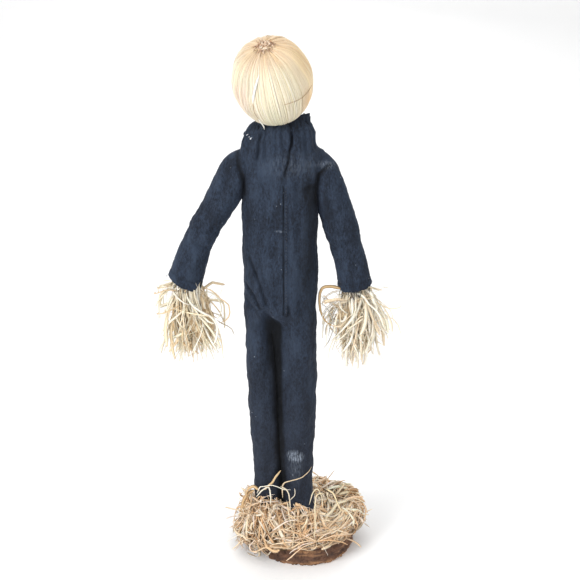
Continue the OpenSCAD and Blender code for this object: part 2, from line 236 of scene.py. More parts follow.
def tube_faces(rings, around, ends="capped"):
    """Faces between rings of points. The ends are capped, open or joined to each other."""
    faces = []
    for i in range(rings if ends == "joined" else rings - 1):
        j = (i + 1) % rings
        for k in range(around):
            n = (k + 1) % around
            faces.append((i * around + k, i * around + n, j * around + n, j * around + k))
    if ends == "capped":
        faces.append(tuple(reversed(range(around))))
        faces.append(tuple((rings - 1) * around + k for k in range(around)))
    return faces


def turned_over(faces):
    return [tuple(reversed(f)) for f in faces]


def outward_sign(points, facing):
    """1 where the normals of a round body point away from its middle on the whole, and -1 where inwards."""
    return np.sign(np.sum(facing * (points - points.mean(0)), axis=1).mean())


def oval(half_w, half_d, around, power=2.0):
    """Points round a rounded-square oval, counter-clockwise, as (across, deep)."""
    a = circle_angles(around)
    c, s = np.cos(a), np.sin(a)
    across = half_w * np.sign(c) * np.abs(c) ** (2 / power)
    deep = half_d * np.sign(s) * np.abs(s) ** (2 / power)
    return np.stack([across, deep], 1)


def spline(keys, samples):
    """Smoothly resamples rows of numbers by their first column."""
    keys = np.array(keys, float)
    slope = np.gradient(keys, keys[:, 0], axis=0)
    at = np.linspace(keys[0, 0], keys[-1, 0], samples)
    i = np.clip(np.searchsorted(keys[:, 0], at) - 1, 0, len(keys) - 2)
    step = (keys[i + 1, 0] - keys[i, 0])[:, None]
    t = ((at - keys[i, 0])[:, None]) / step
    h00, h10 = 2 * t ** 3 - 3 * t ** 2 + 1, t ** 3 - 2 * t ** 2 + t
    h01, h11 = -2 * t ** 3 + 3 * t ** 2, t ** 3 - t ** 2
    out = h00 * keys[i] + h10 * step * slope[i] + h01 * keys[i + 1] + h11 * step * slope[i + 1]
    out[:, 0] = at
    return out


def upright_loft(keys, samples, around, power):
    """Closed body through ovals; a key is (z, centre x, centre y, half width, half depth) in millimetres."""
    rows = spline(keys, samples) * MM
    verts = []
    for z, cx, cy, half_w, half_d in rows:
        for across, deep in oval(half_w, half_d, around, power):
            verts.append((cx + across, cy + deep, z))
    return np.array(verts), tube_faces(samples, around)


def line_distance(points, line):
    """Distance from each point to a polyline, and how far along it, from 0 to 1, the nearest place is."""
    line = np.asarray(line, float)
    lengths = np.linalg.norm(np.diff(line, axis=0), axis=1)
    reached = np.concatenate([[0], np.cumsum(lengths)]) / lengths.sum()
    best = np.full(len(points), 1e9)
    along = np.zeros(len(points))
    for i in range(len(line) - 1):
        edge = line[i + 1] - line[i]
        t = np.clip((points - line[i]) @ edge / (edge @ edge), 0, 1)
        distance = np.linalg.norm(points - line[i] - t[:, None] * edge, axis=1)
        nearer = distance < best
        best[nearer] = distance[nearer]
        along[nearer] = (reached[i] + t * (reached[i + 1] - reached[i]))[nearer]
    return best, along


# ---------------------------------------------------------------- strands

def run_along(line):
    """How far along a line each of its points is."""
    return np.concatenate([[0], np.cumsum(np.linalg.norm(np.diff(line, axis=0), axis=1))])


class Ribbons:
    """Flat plant strands collected into one mesh. Each is a closed, slightly cupped ribbon."""

    CORNERS = 4

    def __init__(self):
        self.verts, self.faces, self.uvs, self.tints = [], [], [], []
        self.count = 0

    def add(self, path, width, facing, tint, cup=0.18, thick=0.25 * MM, ends=0.25):
        path = np.asarray(path, float)
        n = len(path)
        tangent = unit(np.gradient(path, axis=0))
        facing = np.broadcast_to(facing, path.shape)
        side = unit(np.cross(tangent, facing))
        normal = np.cross(side, tangent)
        t = np.linspace(0, 1, n)
        taper = ends + (1 - ends) * np.minimum(1, np.minimum(t, 1 - t) * 7)
        half = side * (width * taper / 2)[:, None]
        bow = normal * (cup * width * taper)[:, None]
        rim = normal * (thick / 2)
        ring = np.stack([path - half, path + bow + rim, path + half, path + bow - rim], 1)
        self.verts.append(ring.reshape(-1, 3))
        base, corners = self.count, self.CORNERS
        for i in range(n - 1):
            a = base + corners * i
            for k in range(corners):
                m = (k + 1) % corners
                self.faces.append((a + k, a + corners + k, a + corners + m, a + m))
        self.faces.append((base, base + 1, base + 2, base + 3))
        last = base + corners * (n - 1)
        self.faces.append((last + 3, last + 2, last + 1, last))
        run = run_along(path) / MM
        across = np.tile([0.0, 0.5, 1.0, 0.5], n) * float(np.mean(width)) / MM
        own_place = 37 * (base % 97)  # so that strands don't share one stretch of the fibre pattern
        self.uvs.append(np.stack([across + own_place, np.repeat(run, corners)], 1))
        tint = np.asarray(tint, float)
        self.tints.append(np.repeat(tint, corners, 0) if tint.ndim == 2 else np.tile(tint, (corners * n, 1)))
        self.count += corners * n

    def build(self, name, material):
        obj = new_object(name, np.concatenate(self.verts), self.faces, material)
        set_uv(obj.data, np.concatenate(self.uvs))
        set_tint(obj.data, np.concatenate(self.tints))
        return obj


def carried(path, start, twist=0.0):
    """A facing for each point of a path that turns with the path and twists by so many radians in all."""
    tangent = unit(np.gradient(path, axis=0))
    current = np.array(start, float)
    rows = []
    step = twist / len(path)
    for t in tangent:
        current = unit(current - t * (current @ t))
        current = unit(current * math.cos(step) + np.cross(t, current) * math.sin(step))
        rows.append(current)
    return np.array(rows)


def wandering_path(rng, start, direction, length, points, pull, pull_strength, wobble, kink=0.0):
    """A strand's path: it sets off one way, is drawn another, and wobbles and kinks as it goes."""
    step = length / (points - 1)
    heading = unit(direction)
    turn = unit(rng.normal(size=3))
    path = [np.array(start, float)]
    for _ in range(points - 1):
        turn = unit(turn + rng.normal(size=3) * 0.5)
        heading = unit(heading + pull * pull_strength * step + np.cross(turn, heading) * wobble * step)
        if rng.uniform() < kink:
            heading = unit(heading + rng.normal(size=3) * 0.7)
        path.append(path[-1] + heading * step)
    return np.array(path)


def smoothed(path, passes=1):
    path = np.asarray(path, float)
    for _ in range(passes):
        path = np.concatenate([path[:1], (path[:-2] + 2 * path[1:-1] + path[2:]) / 4, path[-1:]])
    return path


STRAW_COLOURS = linear_rows(
    (255, 236, 204), (255, 242, 220), (248, 220, 184), (236, 200, 156),
    (252, 230, 198), (244, 214, 180), (222, 182, 138), (255, 240, 226),
)
RAFFIA_COLOURS = linear_rows(
    (255, 248, 226), (252, 240, 210), (248, 230, 194), (255, 246, 222),
    (242, 218, 176), (250, 240, 218), (228, 198, 152), (255, 250, 236),
)


def picked_tint(rng, colours, darkest, brightest):
    return colours[rng.randint(len(colours))] * rng.uniform(darkest, brightest)


def straw_tint(rng):
    return picked_tint(rng, STRAW_COLOURS, 0.86, 1.05)


def raffia_tint(rng):
    return picked_tint(rng, RAFFIA_COLOURS, 0.92, 1.04)


# ---------------------------------------------------------------- materials

class Graph:
    """Short way to write a node material."""

    def __init__(self, name):
        self.material = bpy.data.materials.new(name)
        self.material.use_nodes = True
        self.tree = self.material.node_tree
        self.tree.nodes.clear()
        self.output = self.tree.nodes.new("ShaderNodeOutputMaterial")

    def node(self, kind, inputs=None, **settings):
        node = self.tree.nodes.new("ShaderNode" + kind)
        for key, value in settings.items():
            setattr(node, key, value)
        for key, value in (inputs or {}).items():
            self.put(node.inputs[key], value)
        return node

    def put(self, socket, value):
        if isinstance(value, bpy.types.NodeSocket):
            self.tree.links.new(value, socket)
        elif isinstance(value, (int, float)):
            socket.default_value = value
        else:
            value = list(value)
            if socket.type == "RGBA" and len(value) == 3:
                value.append(1.0)
            socket.default_value = value

    def where(self, source="Object"):
        return self.node("TexCoord").outputs[source]

    def place(self, scale=(1, 1, 1), source="Object"):
        return self.node("Mapping", {"Vector": self.where(source), "Scale": scale}).outputs["Vector"]

    def tint(self):
        # the per-vertex tint: own colours, and painted shade on the cloth and some strands
        return self.node("Attribute", attribute_name="tint").outputs["Color"]

    def noise(self, vector, scale, detail=3.0, rough=0.55):
        inputs = {"Vector": vector, "Scale": scale, "Detail": detail, "Roughness": rough}
        return self.node("TexNoise", inputs).outputs["Fac"]

    def math(self, operation, a, b=0.0):
        return self.node("Math", {0: a, 1: b}, operation=operation).outputs[0]

    def vector(self, operation, *values):
        node = self.node("VectorMath", dict(enumerate(values)), operation=operation)
        return node.outputs["Value" if operation == "LENGTH" else "Vector"]

    def spread(self, value, low, high, to_low=0.0, to_high=1.0):
        inputs = {"Value": value, "From Min": low, "From Max": high, "To Min": to_low, "To Max": to_high}
        return self.node("MapRange", inputs).outputs["Result"]

    def mix(self, factor, a, b, blend="MIX"):
        node = self.node("Mix", data_type="RGBA", blend_type=blend)  # its colours are sockets 6, 7 and 2
        self.put(node.inputs[0], factor)
        self.put(node.inputs[6], a)
        self.put(node.inputs[7], b)
        return node.outputs[2]

    def near(self, centre, radius, soft, stretch=(1, 1, 1)):
        """1 close to a point and 0 far from it, with a soft edge."""
        shaped = self.vector("DIVIDE", self.vector("SUBTRACT", self.where(), centre), stretch)
        return self.spread(self.vector("LENGTH", shaped), radius + soft, radius - soft)

    def finish(self, colour, roughness, height=None, bump=0.3, distance=0.0003, **principled):
        shader = self.node("BsdfPrincipled")
        self.put(shader.inputs["Base Color"], colour)
        self.put(shader.inputs["Roughness"], roughness)
        for key, value in principled.items():
            self.put(shader.inputs[key.replace("_", " ")], value)
        if height is not None:
            inputs = {"Strength": bump, "Distance": distance, "Height": height}
            self.put(shader.inputs["Normal"], self.node("Bump", inputs).outputs["Normal"])
        self.put(self.output.inputs["Surface"], shader.outputs[0])
        return self.material


GLUE_MARKS = (
    # pale marks on the cloth: centre, radius, soft edge, stretch, strength
    (vec(13.5, -20, 125), 8 * MM, 2.4 * MM, (1.1, 1.2, 0.85), 0.8),
    (vec(14.5, -19, 110), 7 * MM, 4 * MM, (1, 1.2, 1.9), 0.22),
    (vec(46, -14, 438), 6 * MM, 3.5 * MM, (1.5, 1.6, 0.6), 0.45),
    (vec(12, -20, 438), 10 * MM, 9 * MM, (2.0, 1.6, 0.8), 0.16),
    (vec(-1, -24, 374), 3 * MM, 1.5 * MM, (1.6, 2, 0.35), 0.35),
)
WEAVE_PITCH = 0.8 * MM
WAVE_LENGTH = 0.314  # of a wave texture at scale 1


def cloth_material():
    """Dark navy cotton: plain weave, heathered colour, lint, pale marks of old glue, and painted shade of
    folds, seams and gaps from the vertex tint.
    """
    g = Graph("dark_cotton")
    wave = {"Vector": g.place(), "Scale": WAVE_LENGTH / WEAVE_PITCH, "Distortion": 1.5, "Detail": 1.0,
            "Detail Scale": 3.0}
    warp = g.node("TexWave", wave, bands_direction="DIAGONAL").outputs["Fac"]
    weft = g.node("TexWave", wave, bands_direction="Z").outputs["Fac"]
    weave = g.math("MULTIPLY", warp, weft)
    heather = g.noise(g.place((1, 1, 0.45)), 620, 3.0, 0.75)
    cloud = g.noise(g.place((1, 1, 0.35)), 62, 4.0, 0.6)
    colour = g.mix(g.spread(heather, 0.34, 0.66), linear(9, 13, 22), linear(41, 52, 69))
    colour = g.mix(g.spread(cloud, 0.48, 0.72, 0.0, 0.6), colour, linear(54, 66, 84))
    colour = g.mix(g.spread(cloud, 0.48, 0.32, 0.0, 0.7), colour, linear(9, 13, 21))
    height_z = g.node("SeparateXYZ", {0: g.where()}).outputs["Z"]
    greyer = g.mix(g.spread(heather, 0.3, 0.72), linear(12, 13, 18), linear(38, 41, 51))
    colour = g.mix(g.spread(height_z, 0.30, 0.12, 0.0, 0.65), colour, greyer)
    colour = g.mix(g.spread(weave, 0.15, 0.75, 0.0, 0.22), colour, linear(58, 69, 87))
    cells = {"Vector": g.place(), "Scale": 130.0, "Randomness": 1.0}
    lint = g.node("TexVoronoi", cells).outputs["Distance"]
    sparse = g.noise(g.place(), 55, 1.0)
    speck = g.math("MULTIPLY", g.spread(lint, 0.075, 0.04), g.spread(sparse, 0.56, 0.6))
    colour = g.mix(g.math("MULTIPLY", speck, 0.75), colour, linear(170, 178, 190))
    streaks = g.noise(g.place((900, 900, 160)), 1.0, 3.0, 0.75)
    for centre, radius, soft, stretch, amount in GLUE_MARKS:
        mask = g.math("MULTIPLY", g.near(centre, radius, soft, stretch), g.spread(streaks, 0.42, 0.66))
        colour = g.mix(g.math("MULTIPLY", mask, amount), colour, linear(148, 158, 172))
    # multiplies in the painted shade of the folds, seams and gaps
    colour = g.mix(1.0, colour, g.tint(), "MULTIPLY")
    height = g.math("ADD", weave, g.math("MULTIPLY", heather, 0.8))
    return g.finish(colour, g.spread(heather, 0.2, 0.8, 0.78, 0.95), height, 0.45, 0.0002,
                    Sheen_Weight=0.12, Sheen_Roughness=0.5, Sheen_Tint=linear(120, 135, 165),
                    Specular_IOR_Level=0.25)


def strand_material(name, roughness, contrast):
    """Dry plant strands: each strand's tint, which is its own colour with painted shade on the deeper strands,
    fine lengthwise fibres and a few brown flecks.
    """
    g = Graph(name)
    tint = g.tint()
    fibre = g.noise(g.place((3.2, 0.12, 1), "UV"), 1.0, 4.0, 0.65)
    fleck = g.noise(g.place((0.5, 0.07, 1), "UV"), 1.0, 2.0, 0.5)
    darker = g.mix(1.0, tint, (0.62, 0.5, 0.36), "MULTIPLY")
    brown = g.mix(1.0, tint, (0.66, 0.52, 0.38), "MULTIPLY")
    colour = g.mix(g.spread(fibre, 0.3, 0.7, 0, contrast), tint, darker)
    colour = g.mix(g.spread(fleck, 0.62, 0.72, 0, 0.35), colour, brown)
    return g.finish(colour, g.spread(fibre, 0.3, 0.7, roughness, roughness + 0.2), fibre, 0.5, 0.0002,
                    Sheen_Weight=0.1, Subsurface_Weight=0.08, Subsurface_Radius=(0.004, 0.003, 0.002))


def matted_material(name, light, dark, fineness=1.0):
    """Matted straw seen in the depth of a heap or a brush: its dark colours are partly the straw's own tone and
    partly painted shade of the depth.
    """
    g = Graph(name)
    lines = g.noise(g.place((500, 500, 120 / fineness ** 2)), fineness, 4.0, 0.7)
    clumps = g.noise(g.place(), 110, 3.0, 0.6)
    colour = g.mix(g.spread(lines, 0.35, 0.62), dark, light)
    colour = g.mix(g.spread(clumps, 0.45, 0.7, 0, 0.7), colour, dark)
    return g.finish(colour, 0.85, lines, 0.8, 0.001)


def bark_material():
    """Brown bark in flat plates, with paler bands where it has flaked."""
    g = Graph("bark")
    coarse = g.noise(g.place((60, 60, 150)), 1.0, 6.0, 0.65)
    band = g.noise(g.place((25, 25, 190)), 1.0, 3.0, 0.6)
    fine = g.noise(g.place(), 700, 4.0, 0.7)
    colour = g.mix(g.spread(coarse, 0.35, 0.65), linear(60, 42, 35), linear(112, 78, 58))
    colour = g.mix(g.spread(band, 0.5, 0.64, 0, 0.9), colour, linear(166, 124, 88))
    colour = g.mix(g.spread(fine, 0.55, 0.75, 0, 0.5), colour, linear(52, 36, 32))
    height = g.math("ADD", coarse, g.math("MULTIPLY", fine, 0.4))
    return g.finish(colour, g.spread(fine, 0.3, 0.7, 0.7, 0.95), height, 0.7, 0.0012)


def log_material():
    """Sawn wood: growth rings round the slice's middle, under saw marks."""
    g = Graph("log_wood")
    offset = g.vector("SUBTRACT", g.where(), node_centre("base_block"))
    distance = g.vector("LENGTH", g.vector("MULTIPLY", offset, (1, 1, 0)))
    ripple = g.math("MULTIPLY", g.noise(g.place(), 45, 3.0), 0.006)
    rings = g.math("SINE", g.math("MULTIPLY", g.math("ADD", distance, ripple), 2400.0))
    grain = g.noise(g.place((900, 120, 120)), 1.0, 5.0, 0.7)
    colour = g.mix(g.spread(rings, -1, 1), linear(150, 112, 76), linear(196, 160, 116))
    colour = g.mix(g.spread(grain, 0.4, 0.7, 0, 0.4), colour, linear(120, 86, 58))
    return g.finish(colour, 0.75, g.math("ADD", rings, grain), 0.3, 0.0003)


def wood_material():
    """Planed wood with a fine straight grain."""
    g = Graph("dowel_wood")
    grain = g.noise(g.place((420, 420, 30)), 1.0, 5.0, 0.65)
    colour = g.mix(g.spread(grain, 0.35, 0.65), linear(176, 138, 92), linear(214, 182, 136))
    return g.finish(colour, 0.6, grain, 0.25, 0.0002)


def wire_material():
    """Dull steel wire with fine scratches."""
    g = Graph("wire")
    scratch = g.noise(g.place((900, 900, 200)), 1.0, 4.0, 0.7)
    colour = g.mix(g.spread(scratch, 0.4, 0.7), linear(146, 148, 150), linear(108, 108, 108))
    return g.finish(colour, g.spread(scratch, 0.3, 0.7, 0.3, 0.55), scratch, 0.2, 0.0001, Metallic=0.9)


def fibre_material(name, light, dark, scale):
    """Foam or felt: fine even fuzz."""
    g = Graph(name)
    fuzz = g.noise(g.place(), scale, 5.0, 0.75)
    colour = g.mix(g.spread(fuzz, 0.3, 0.7), dark, light)
    return g.finish(colour, 0.92, fuzz, 0.6, 0.0006, Sheen_Weight=0.3)


def thread_material(name, light, dark):
    """Twisted thread, with the ply's diagonal lines."""
    g = Graph(name)
    wave = {"Vector": g.place(), "Scale": 260.0, "Distortion": 2.0}
    ply = g.node("TexWave", wave, bands_direction="DIAGONAL").outputs["Fac"]
    return g.finish(g.mix(ply, dark, light), 0.8, ply, 0.5, 0.0002, Sheen_Weight=0.2)


def button_material():
    """Polished black, a little hazy."""
    g = Graph("button_black")
    haze = g.noise(g.place(), 300, 4.0, 0.6)
    colour = g.mix(g.spread(haze, 0.4, 0.7), linear(14, 14, 16), linear(34, 33, 36))
    return g.finish(colour, g.spread(haze, 0.3, 0.7, 0.15, 0.35), haze, 0.05, 0.0001, Coat_Weight=0.4)


# ---------------------------------------------------------------- finishes

MATERIALS = {
    "dark_cotton": cloth_material(),
    "raffia": strand_material("raffia", 0.45, 0.2),
    "straw": strand_material("straw", 0.5, 0.35),
    "husk": strand_material("husk", 0.38, 0.22),
    # the matted straw and raffia are darker than the strands, partly as painted shade in the depth
    "matted_straw": matted_material("matted_straw", linear(168, 134, 92), linear(66, 48, 32)),
    "matted_raffia": matted_material("matted_raffia", linear(240, 220, 184), linear(158, 128, 92), 1.6),
    "bark": bark_material(),
    "log_wood": log_material(),
    "dowel_wood": wood_material(),
    "wire": wire_material(),
    "foam": fibre_material("foam", linear(240, 240, 238), linear(216, 216, 212), 1400),
    "felt_orange": fibre_material("felt_orange", linear(214, 116, 42), linear(168, 82, 28), 1100),
    "dark_thread": thread_material("dark_thread", linear(34, 37, 46), linear(12, 13, 17)),
    "brown_thread": thread_material("brown_thread", linear(206, 176, 132), linear(156, 122, 84)),
    "face_thread": thread_material("face_thread", linear(46, 40, 38), linear(18, 16, 16)),
    "button_black": button_material(),
}
NODE_FINISH = {
    "base_block": "log_wood", "left_leg_dowel": "dowel_wood", "right_leg_dowel": "dowel_wood",
    "hip_block": "dowel_wood", "spine_dowel": "dowel_wood", "shoulder_wire": "wire",
    "neck_plug": "dowel_wood", "neck_tie": "dark_thread", "neck_peg": "dowel_wood", "head_ball": "foam",
    "eye_buttons": "button_black", "nose_patch": "felt_orange", "mouth_stitch": "face_thread",
}
for side_name in SIDE_NAME.values():
    NODE_FINISH[side_name + "_wrist_tie"] = "dark_thread"
    for part in ("_arm_wire", "_forearm_wire", "_hand_wire"):
        NODE_FINISH[side_name + part] = "wire"


def finish_nodes():
    """Gives the CAD nodes that stay in sight, or inside, their procedural materials."""
    for node, finish in NODE_FINISH.items():
        obj = bpy.data.objects.get(node)
        if obj is None:
            continue
        for slot in obj.material_slots:
            slot.material = MATERIALS[finish]
        if not obj.material_slots:
            obj.data.materials.append(MATERIALS[finish])


# ---------------------------------------------------------------- head

HEAD_AXIS = unit(np.array(JOINTS["head_turn"]["axis"], float))
HEAD_CENTRE = node_centre("head_ball")
CROWN_AXIS = unit(HEAD_AXIS + np.array([0.0, -0.13, -0.05]))
HEAD_X = unit(RIGHTWARD - CROWN_AXIS[0] * CROWN_AXIS)
HEAD_Y = np.cross(CROWN_AXIS, HEAD_X)
HUSK_RADIUS = 37.8 * MM
FACE_SWELL = 0.95 * MM  # brings the husk up to the face's buttons
CREAM = linear(252, 246, 232)
KNOT_COLOURS = linear_rows((226, 196, 168), (238, 212, 186), (208, 170, 138), (246, 230, 208))


def head_directions(tilt, turn):
    """Unit directions from the head's centre: tilt is the angle from the crown, turn goes round the axis."""
    tilt, turn = np.broadcast_arrays(np.asarray(tilt, float), np.asarray(turn, float))
    flat = np.cos(turn)[..., None] * HEAD_X + np.sin(turn)[..., None] * HEAD_Y
    return np.cos(tilt)[..., None] * CROWN_AXIS + np.sin(tilt)[..., None] * flat


def head_radius(tilt, turn):
    """Round in the middle, drawn up to the knot and down to the neck, with gathers near both ends."""
    degrees = np.degrees(tilt)
    radius = HUSK_RADIUS + (3.2 * smoothstep(70, 34, degrees) + 5.0 * smoothstep(100, 160, degrees)) * MM
    gather = falloff(degrees / 42) + 0.35 * smoothstep(120, 165, degrees)
    ripple = (np.sin(13 * turn + 1.2) + 0.8 * np.sin(21 * turn + 0.4) + 0.6 * np.sin(34 * turn + 2.2)
              + 0.4 * np.sin(8 * turn))
    direction = head_directions(tilt, turn)
    face = smoothstep(0.35, 0.7, direction[..., 1]) * smoothstep(0.12, 0.42, direction[..., 2])
    return radius + 0.42 * MM * gather * ripple + FACE_SWELL * face


def head_points(tilt, turn, lift):
    """Points on the husk, or a little off it by lift, in metres."""
    tilt, turn = np.broadcast_arrays(np.asarray(tilt, float), np.asarray(turn, float))
    return HEAD_CENTRE + head_directions(tilt, turn) * (head_radius(tilt, turn) + lift)[..., None]


def husk_tone(points):
    """The husk's colour: ivory, peachy at the upper right, greener below and tan round the crown."""
    offset = (points - HEAD_CENTRE) / HUSK_RADIUS
    ivory, peach, green, pink, orange, tan = linear_rows(
        (243, 233, 208), (246, 216, 170), (232, 228, 200), (244, 222, 204), (238, 200, 150), (238, 214, 184))
    rows = np.tile(ivory, (len(points), 1))

    def towards(colour, amount):
        nonlocal rows
        rows = rows + (colour - rows) * np.clip(amount, 0, 1)[:, None]

    x, z = offset[:, 0], offset[:, 2]
    towards(peach, smoothstep(0.25, 1.0, 0.62 * x + 0.55 * z))
    towards(green, smoothstep(-0.2, -0.75, z) * smoothstep(0.5, -0.2, np.abs(x - 0.1)))
    towards(pink, 0.8 * smoothstep(-0.45, -0.8, x) * smoothstep(0.2, -0.3, z))
    towards(orange, 0.9 * smoothstep(0.62, 0.95, x) * smoothstep(0.1, -0.5, z))
    towards(tan, 0.7 * smoothstep(0.72, 0.98, offset @ CROWN_AXIS))
    return rows


def on_head(x, z, lift):
    """The point on the back of the head with this x and z in millimetres."""
    place = vec(x, 0, z)
    place[1] = HEAD_CENTRE[1] - HUSK_RADIUS
    for _ in range(12):
        offset = place - HEAD_CENTRE
        tilt = math.acos(np.clip(offset @ CROWN_AXIS / np.linalg.norm(offset), -1, 1))
        turn = math.atan2(offset @ HEAD_Y, offset @ HEAD_X)
        radius = float(head_radius(np.array(tilt), np.array(turn))) + lift
        flat = offset[0] ** 2 + offset[2] ** 2
        place[1] = HEAD_CENTRE[1] - math.sqrt(max(radius ** 2 - flat, (2 * MM) ** 2))
    return place


def husk_skin():
    """The closed ovoid under the strands."""
    rows, around = 72, 128
    tilts = np.radians(np.linspace(1.5, 178.5, rows))
    tilt, turn = (grid.ravel() for grid in np.meshgrid(tilts, circle_angles(around), indexing="ij"))
    points = head_points(tilt, turn, -0.15 * MM)
    skin = new_object("husk_skin", points, turned_over(tube_faces(rows, around)), MATERIALS["husk"])
    uv_scale = 38
    set_uv(skin.data, np.stack([turn * uv_scale, tilt * uv_scale], 1))
    # darker and warmer than the strands: painted shade in the gaps between them
    set_tint(skin.data, husk_tone(points) * np.array([0.80, 0.72, 0.60]))
    dress(skin, "head", "husk")


def husk_strands():
    """Strands that all run from the crown to the neck, and a few pale ones that lie over them."""
    rng = np.random.RandomState(11)
    ribbons = Ribbons()
    strands, samples = 250, 30
    gap = 2 * math.pi * HUSK_RADIUS / strands
    for i in range(strands):
        turn = 2 * math.pi * (i + rng.uniform(-0.3, 0.3)) / strands
        first = math.radians(rng.choice([5, 9, 14, 22, 30], p=[0.3, 0.25, 0.2, 0.15, 0.1]))
        last = math.radians(rng.uniform(170, 177))
        tilt = np.linspace(first, last, samples)
        drift = np.cumsum(rng.normal(size=samples)) * 0.0012
        turn_line = turn + drift - drift[samples // 3]
        lift = rng.uniform(-0.05, 0.32) * MM
        path = head_points(tilt, turn_line, lift)
        facing = head_directions(tilt, turn_line)
        width = gap * rng.uniform(0.95, 1.35) * np.maximum(np.sin(tilt), 0.2) ** 0.8
        tone = husk_tone(path) * rng.normal(1.0, 0.045)
        tone = tone * np.array([1, rng.normal(1, 0.012), rng.normal(1, 0.03)])
        ribbons.add(path, width, facing, np.clip(tone, 0, 1), cup=0.16, thick=0.3 * MM, ends=0.5)
    for _ in range(16):  # the pale ones on top
        turn = rng.uniform(0, 2 * math.pi)
        tilt = np.linspace(math.radians(rng.uniform(16, 60)), math.radians(rng.uniform(95, 165)), 22)
        turn_line = turn + np.linspace(-0.5, 0.5, 22) * rng.normal() * 0.06
        path = head_points(tilt, turn_line, 0.55 * MM)
        tone = husk_tone(path) * 0.3 + CREAM * 0.68
        width = rng.uniform(0.5, 1.0) * MM
        ribbons.add(path, width, head_directions(tilt, turn_line), tone, cup=0.2, thick=0.25 * MM, ends=0.1)
    dress(ribbons.build("husk_strands", MATERIALS["husk"]), "head", "husk", "head_husk")


def crown_knot():
    """Where the husk is tied off: a low, lumpy rosette of folded ends with dark gaps between them."""
    rng = np.random.RandomState(5)
    ribbons = Ribbons()
    top = head_points(np.array([0.02]), np.array([0.0]), -1.0 * MM)[0]
    for _ in range(90):
        turn = rng.uniform(0, 2 * math.pi)
        outward = math.cos(turn) * HEAD_X + math.sin(turn) * HEAD_Y
        away = 6.2 * MM * math.sqrt(rng.uniform(0, 1))
        start = top + outward * away - CROWN_AXIS * 1.2 * MM * (away / (6 * MM)) ** 2
        across = unit(np.cross(CROWN_AXIS, outward) * rng.normal() + outward * rng.normal())
        span = rng.uniform(1.6, 3.6) * MM
        rise = rng.uniform(1.4, 3.2) * MM
        arc = np.linspace(0, math.pi * rng.uniform(0.8, 1.15), 9)[:, None]
        path = start + across * span * (1 - np.cos(arc)) / 2 + CROWN_AXIS * rise * np.sin(arc)
        tone = picked_tint(rng, KNOT_COLOURS, 0.82, 1.06)
        width = rng.uniform(0.9, 2.0) * MM
        facing = carried(path, outward + CROWN_AXIS, rng.normal())
        ribbons.add(path, width, facing, tone, cup=0.25, thick=0.3 * MM, ends=0.6)
    for _ in range(26):  # short dark threads round the rosette
        turn = np.full(6, rng.uniform(0, 2 * math.pi))
        tilt = math.radians(rng.uniform(6, 12))
        tilts = np.linspace(tilt, tilt + math.radians(rng.uniform(3, 8)), 6)
        path = head_points(tilts, turn, 0.55 * MM)
        tone = linear(150, 108, 84) * rng.uniform(0.7, 1.2)
        ribbons.add(path, 0.45 * MM, head_directions(tilts, turn), tone, cup=0.2, thick=0.3 * MM)
    dress(ribbons.build("crown_knot_ends", MATERIALS["husk"]), "head", "knot_husk", "crown_knot")


def head_line(places, samples, lift):
    """A line over the back of the head through (x, z) places in millimetres."""
    places = np.array(places, float)
    rows = spline(np.column_stack([run_along(places), places]), samples)
    return np.array([on_head(x, z, lift) for _, x, z in rows])


def loose_strand():
    """The glossy strand that hangs loose down the left of the back."""
    loose = Ribbons()
    path = head_line([(-19.0, 530), (-22.5, 519), (-25.0, 508), (-25.6, 502)], 24, 0.9 * MM)
    width = 2.6 * MM * np.sin(np.linspace(0.25, math.pi - 0.5, 24)) ** 0.7
    facing = unit(path - HEAD_CENTRE)
    # near white: the strand's pale colour, brightened further as a painted highlight along its gloss
    loose.add(path, width, facing, linear(250, 250, 246), cup=0.22, thick=0.35 * MM, ends=0.15)
    path = head_line([(-25.6, 503), (-25.0, 497), (-23.6, 491), (-20.8, 486)], 20, 0.75 * MM)
    facing = unit(path - HEAD_CENTRE)
    loose.add(path, 0.5 * MM, facing, linear(176, 146, 112), cup=0.3, thick=0.4 * MM, ends=0.6)
    tail = smoothed([path[-1], vec(-19.5, -33, 482.5), vec(-17.2, -30.5, 480.5), vec(-15.8, -27.5, 477.5),
                     vec(-15.6, -26, 474.6)])
    # near white, partly a painted highlight
    loose.add(tail, 1.3 * MM, np.array([0, -1, 0.3]), linear(236, 234, 228), cup=0.2, thick=0.4 * MM, ends=0.4)
    dress(loose.build("loose_husk_strand", MATERIALS["husk"]), "head", "white_strand", "loose_strand")


def brown_thread():
    """The brown thread across the lower right of the back."""
    thread = Ribbons()
    places = [(3.0, 501.4), (7.6, 502.6), (13, 504.0), (20.4, 507.2), (25, 511.4), (28.6, 516.6)]
    path = head_line(places, 40, 0.7 * MM)
    facing = unit(path - HEAD_CENTRE)
    thread.add(path, 0.5 * MM, facing, linear(186, 152, 108), cup=0.4, thick=0.5 * MM, ends=0.6)
    obj = thread.build("brown_head_thread", MATERIALS["brown_thread"])
    dress(obj, "head", "brown_thread", "head_thread")


# ---------------------------------------------------------------- coverall

def back_view(points):
    """Where points lie as seen from the back, as (x, z)."""
    return np.column_stack([points[:, 0], points[:, 2]])


def press_fold(points, facing, shade, line, width, depth, crease_shade=0.0, front=False, ends=0.25):
    """Presses a fold drawn as (x, z) places in millimetres into the back, or the front, of the cloth, and
    paints shade along its crease.
    """
    distance, along = line_distance(back_view(points), np.array(line, float) * MM)
    s = distance / (width * MM)
    toward = facing[:, 1] if front else -facing[:, 1]
    fade = smoothstep(-0.05, 0.35, toward) * smoothstep(0, ends, along) * smoothstep(1, 1 - ends, along)
    profile = (1 - 0.75 * s ** 2) * np.exp(-0.5 * s ** 2)
    points[:, 1] += np.where(facing[:, 1] > 0, -1, 1) * profile * fade * depth * MM
    # painted shade in the crease
    shade *= 1 - crease_shade * fade * falloff(s / 0.7)


def press_folds(points, facing, shade, folds, **how):
    """Presses a table of folds; each row has (x, z) places, width, depth and painted crease shade."""
    for line, width, depth, crease_shade in folds:
        press_fold(points, facing, shade, line, width, depth, crease_shade, **how)


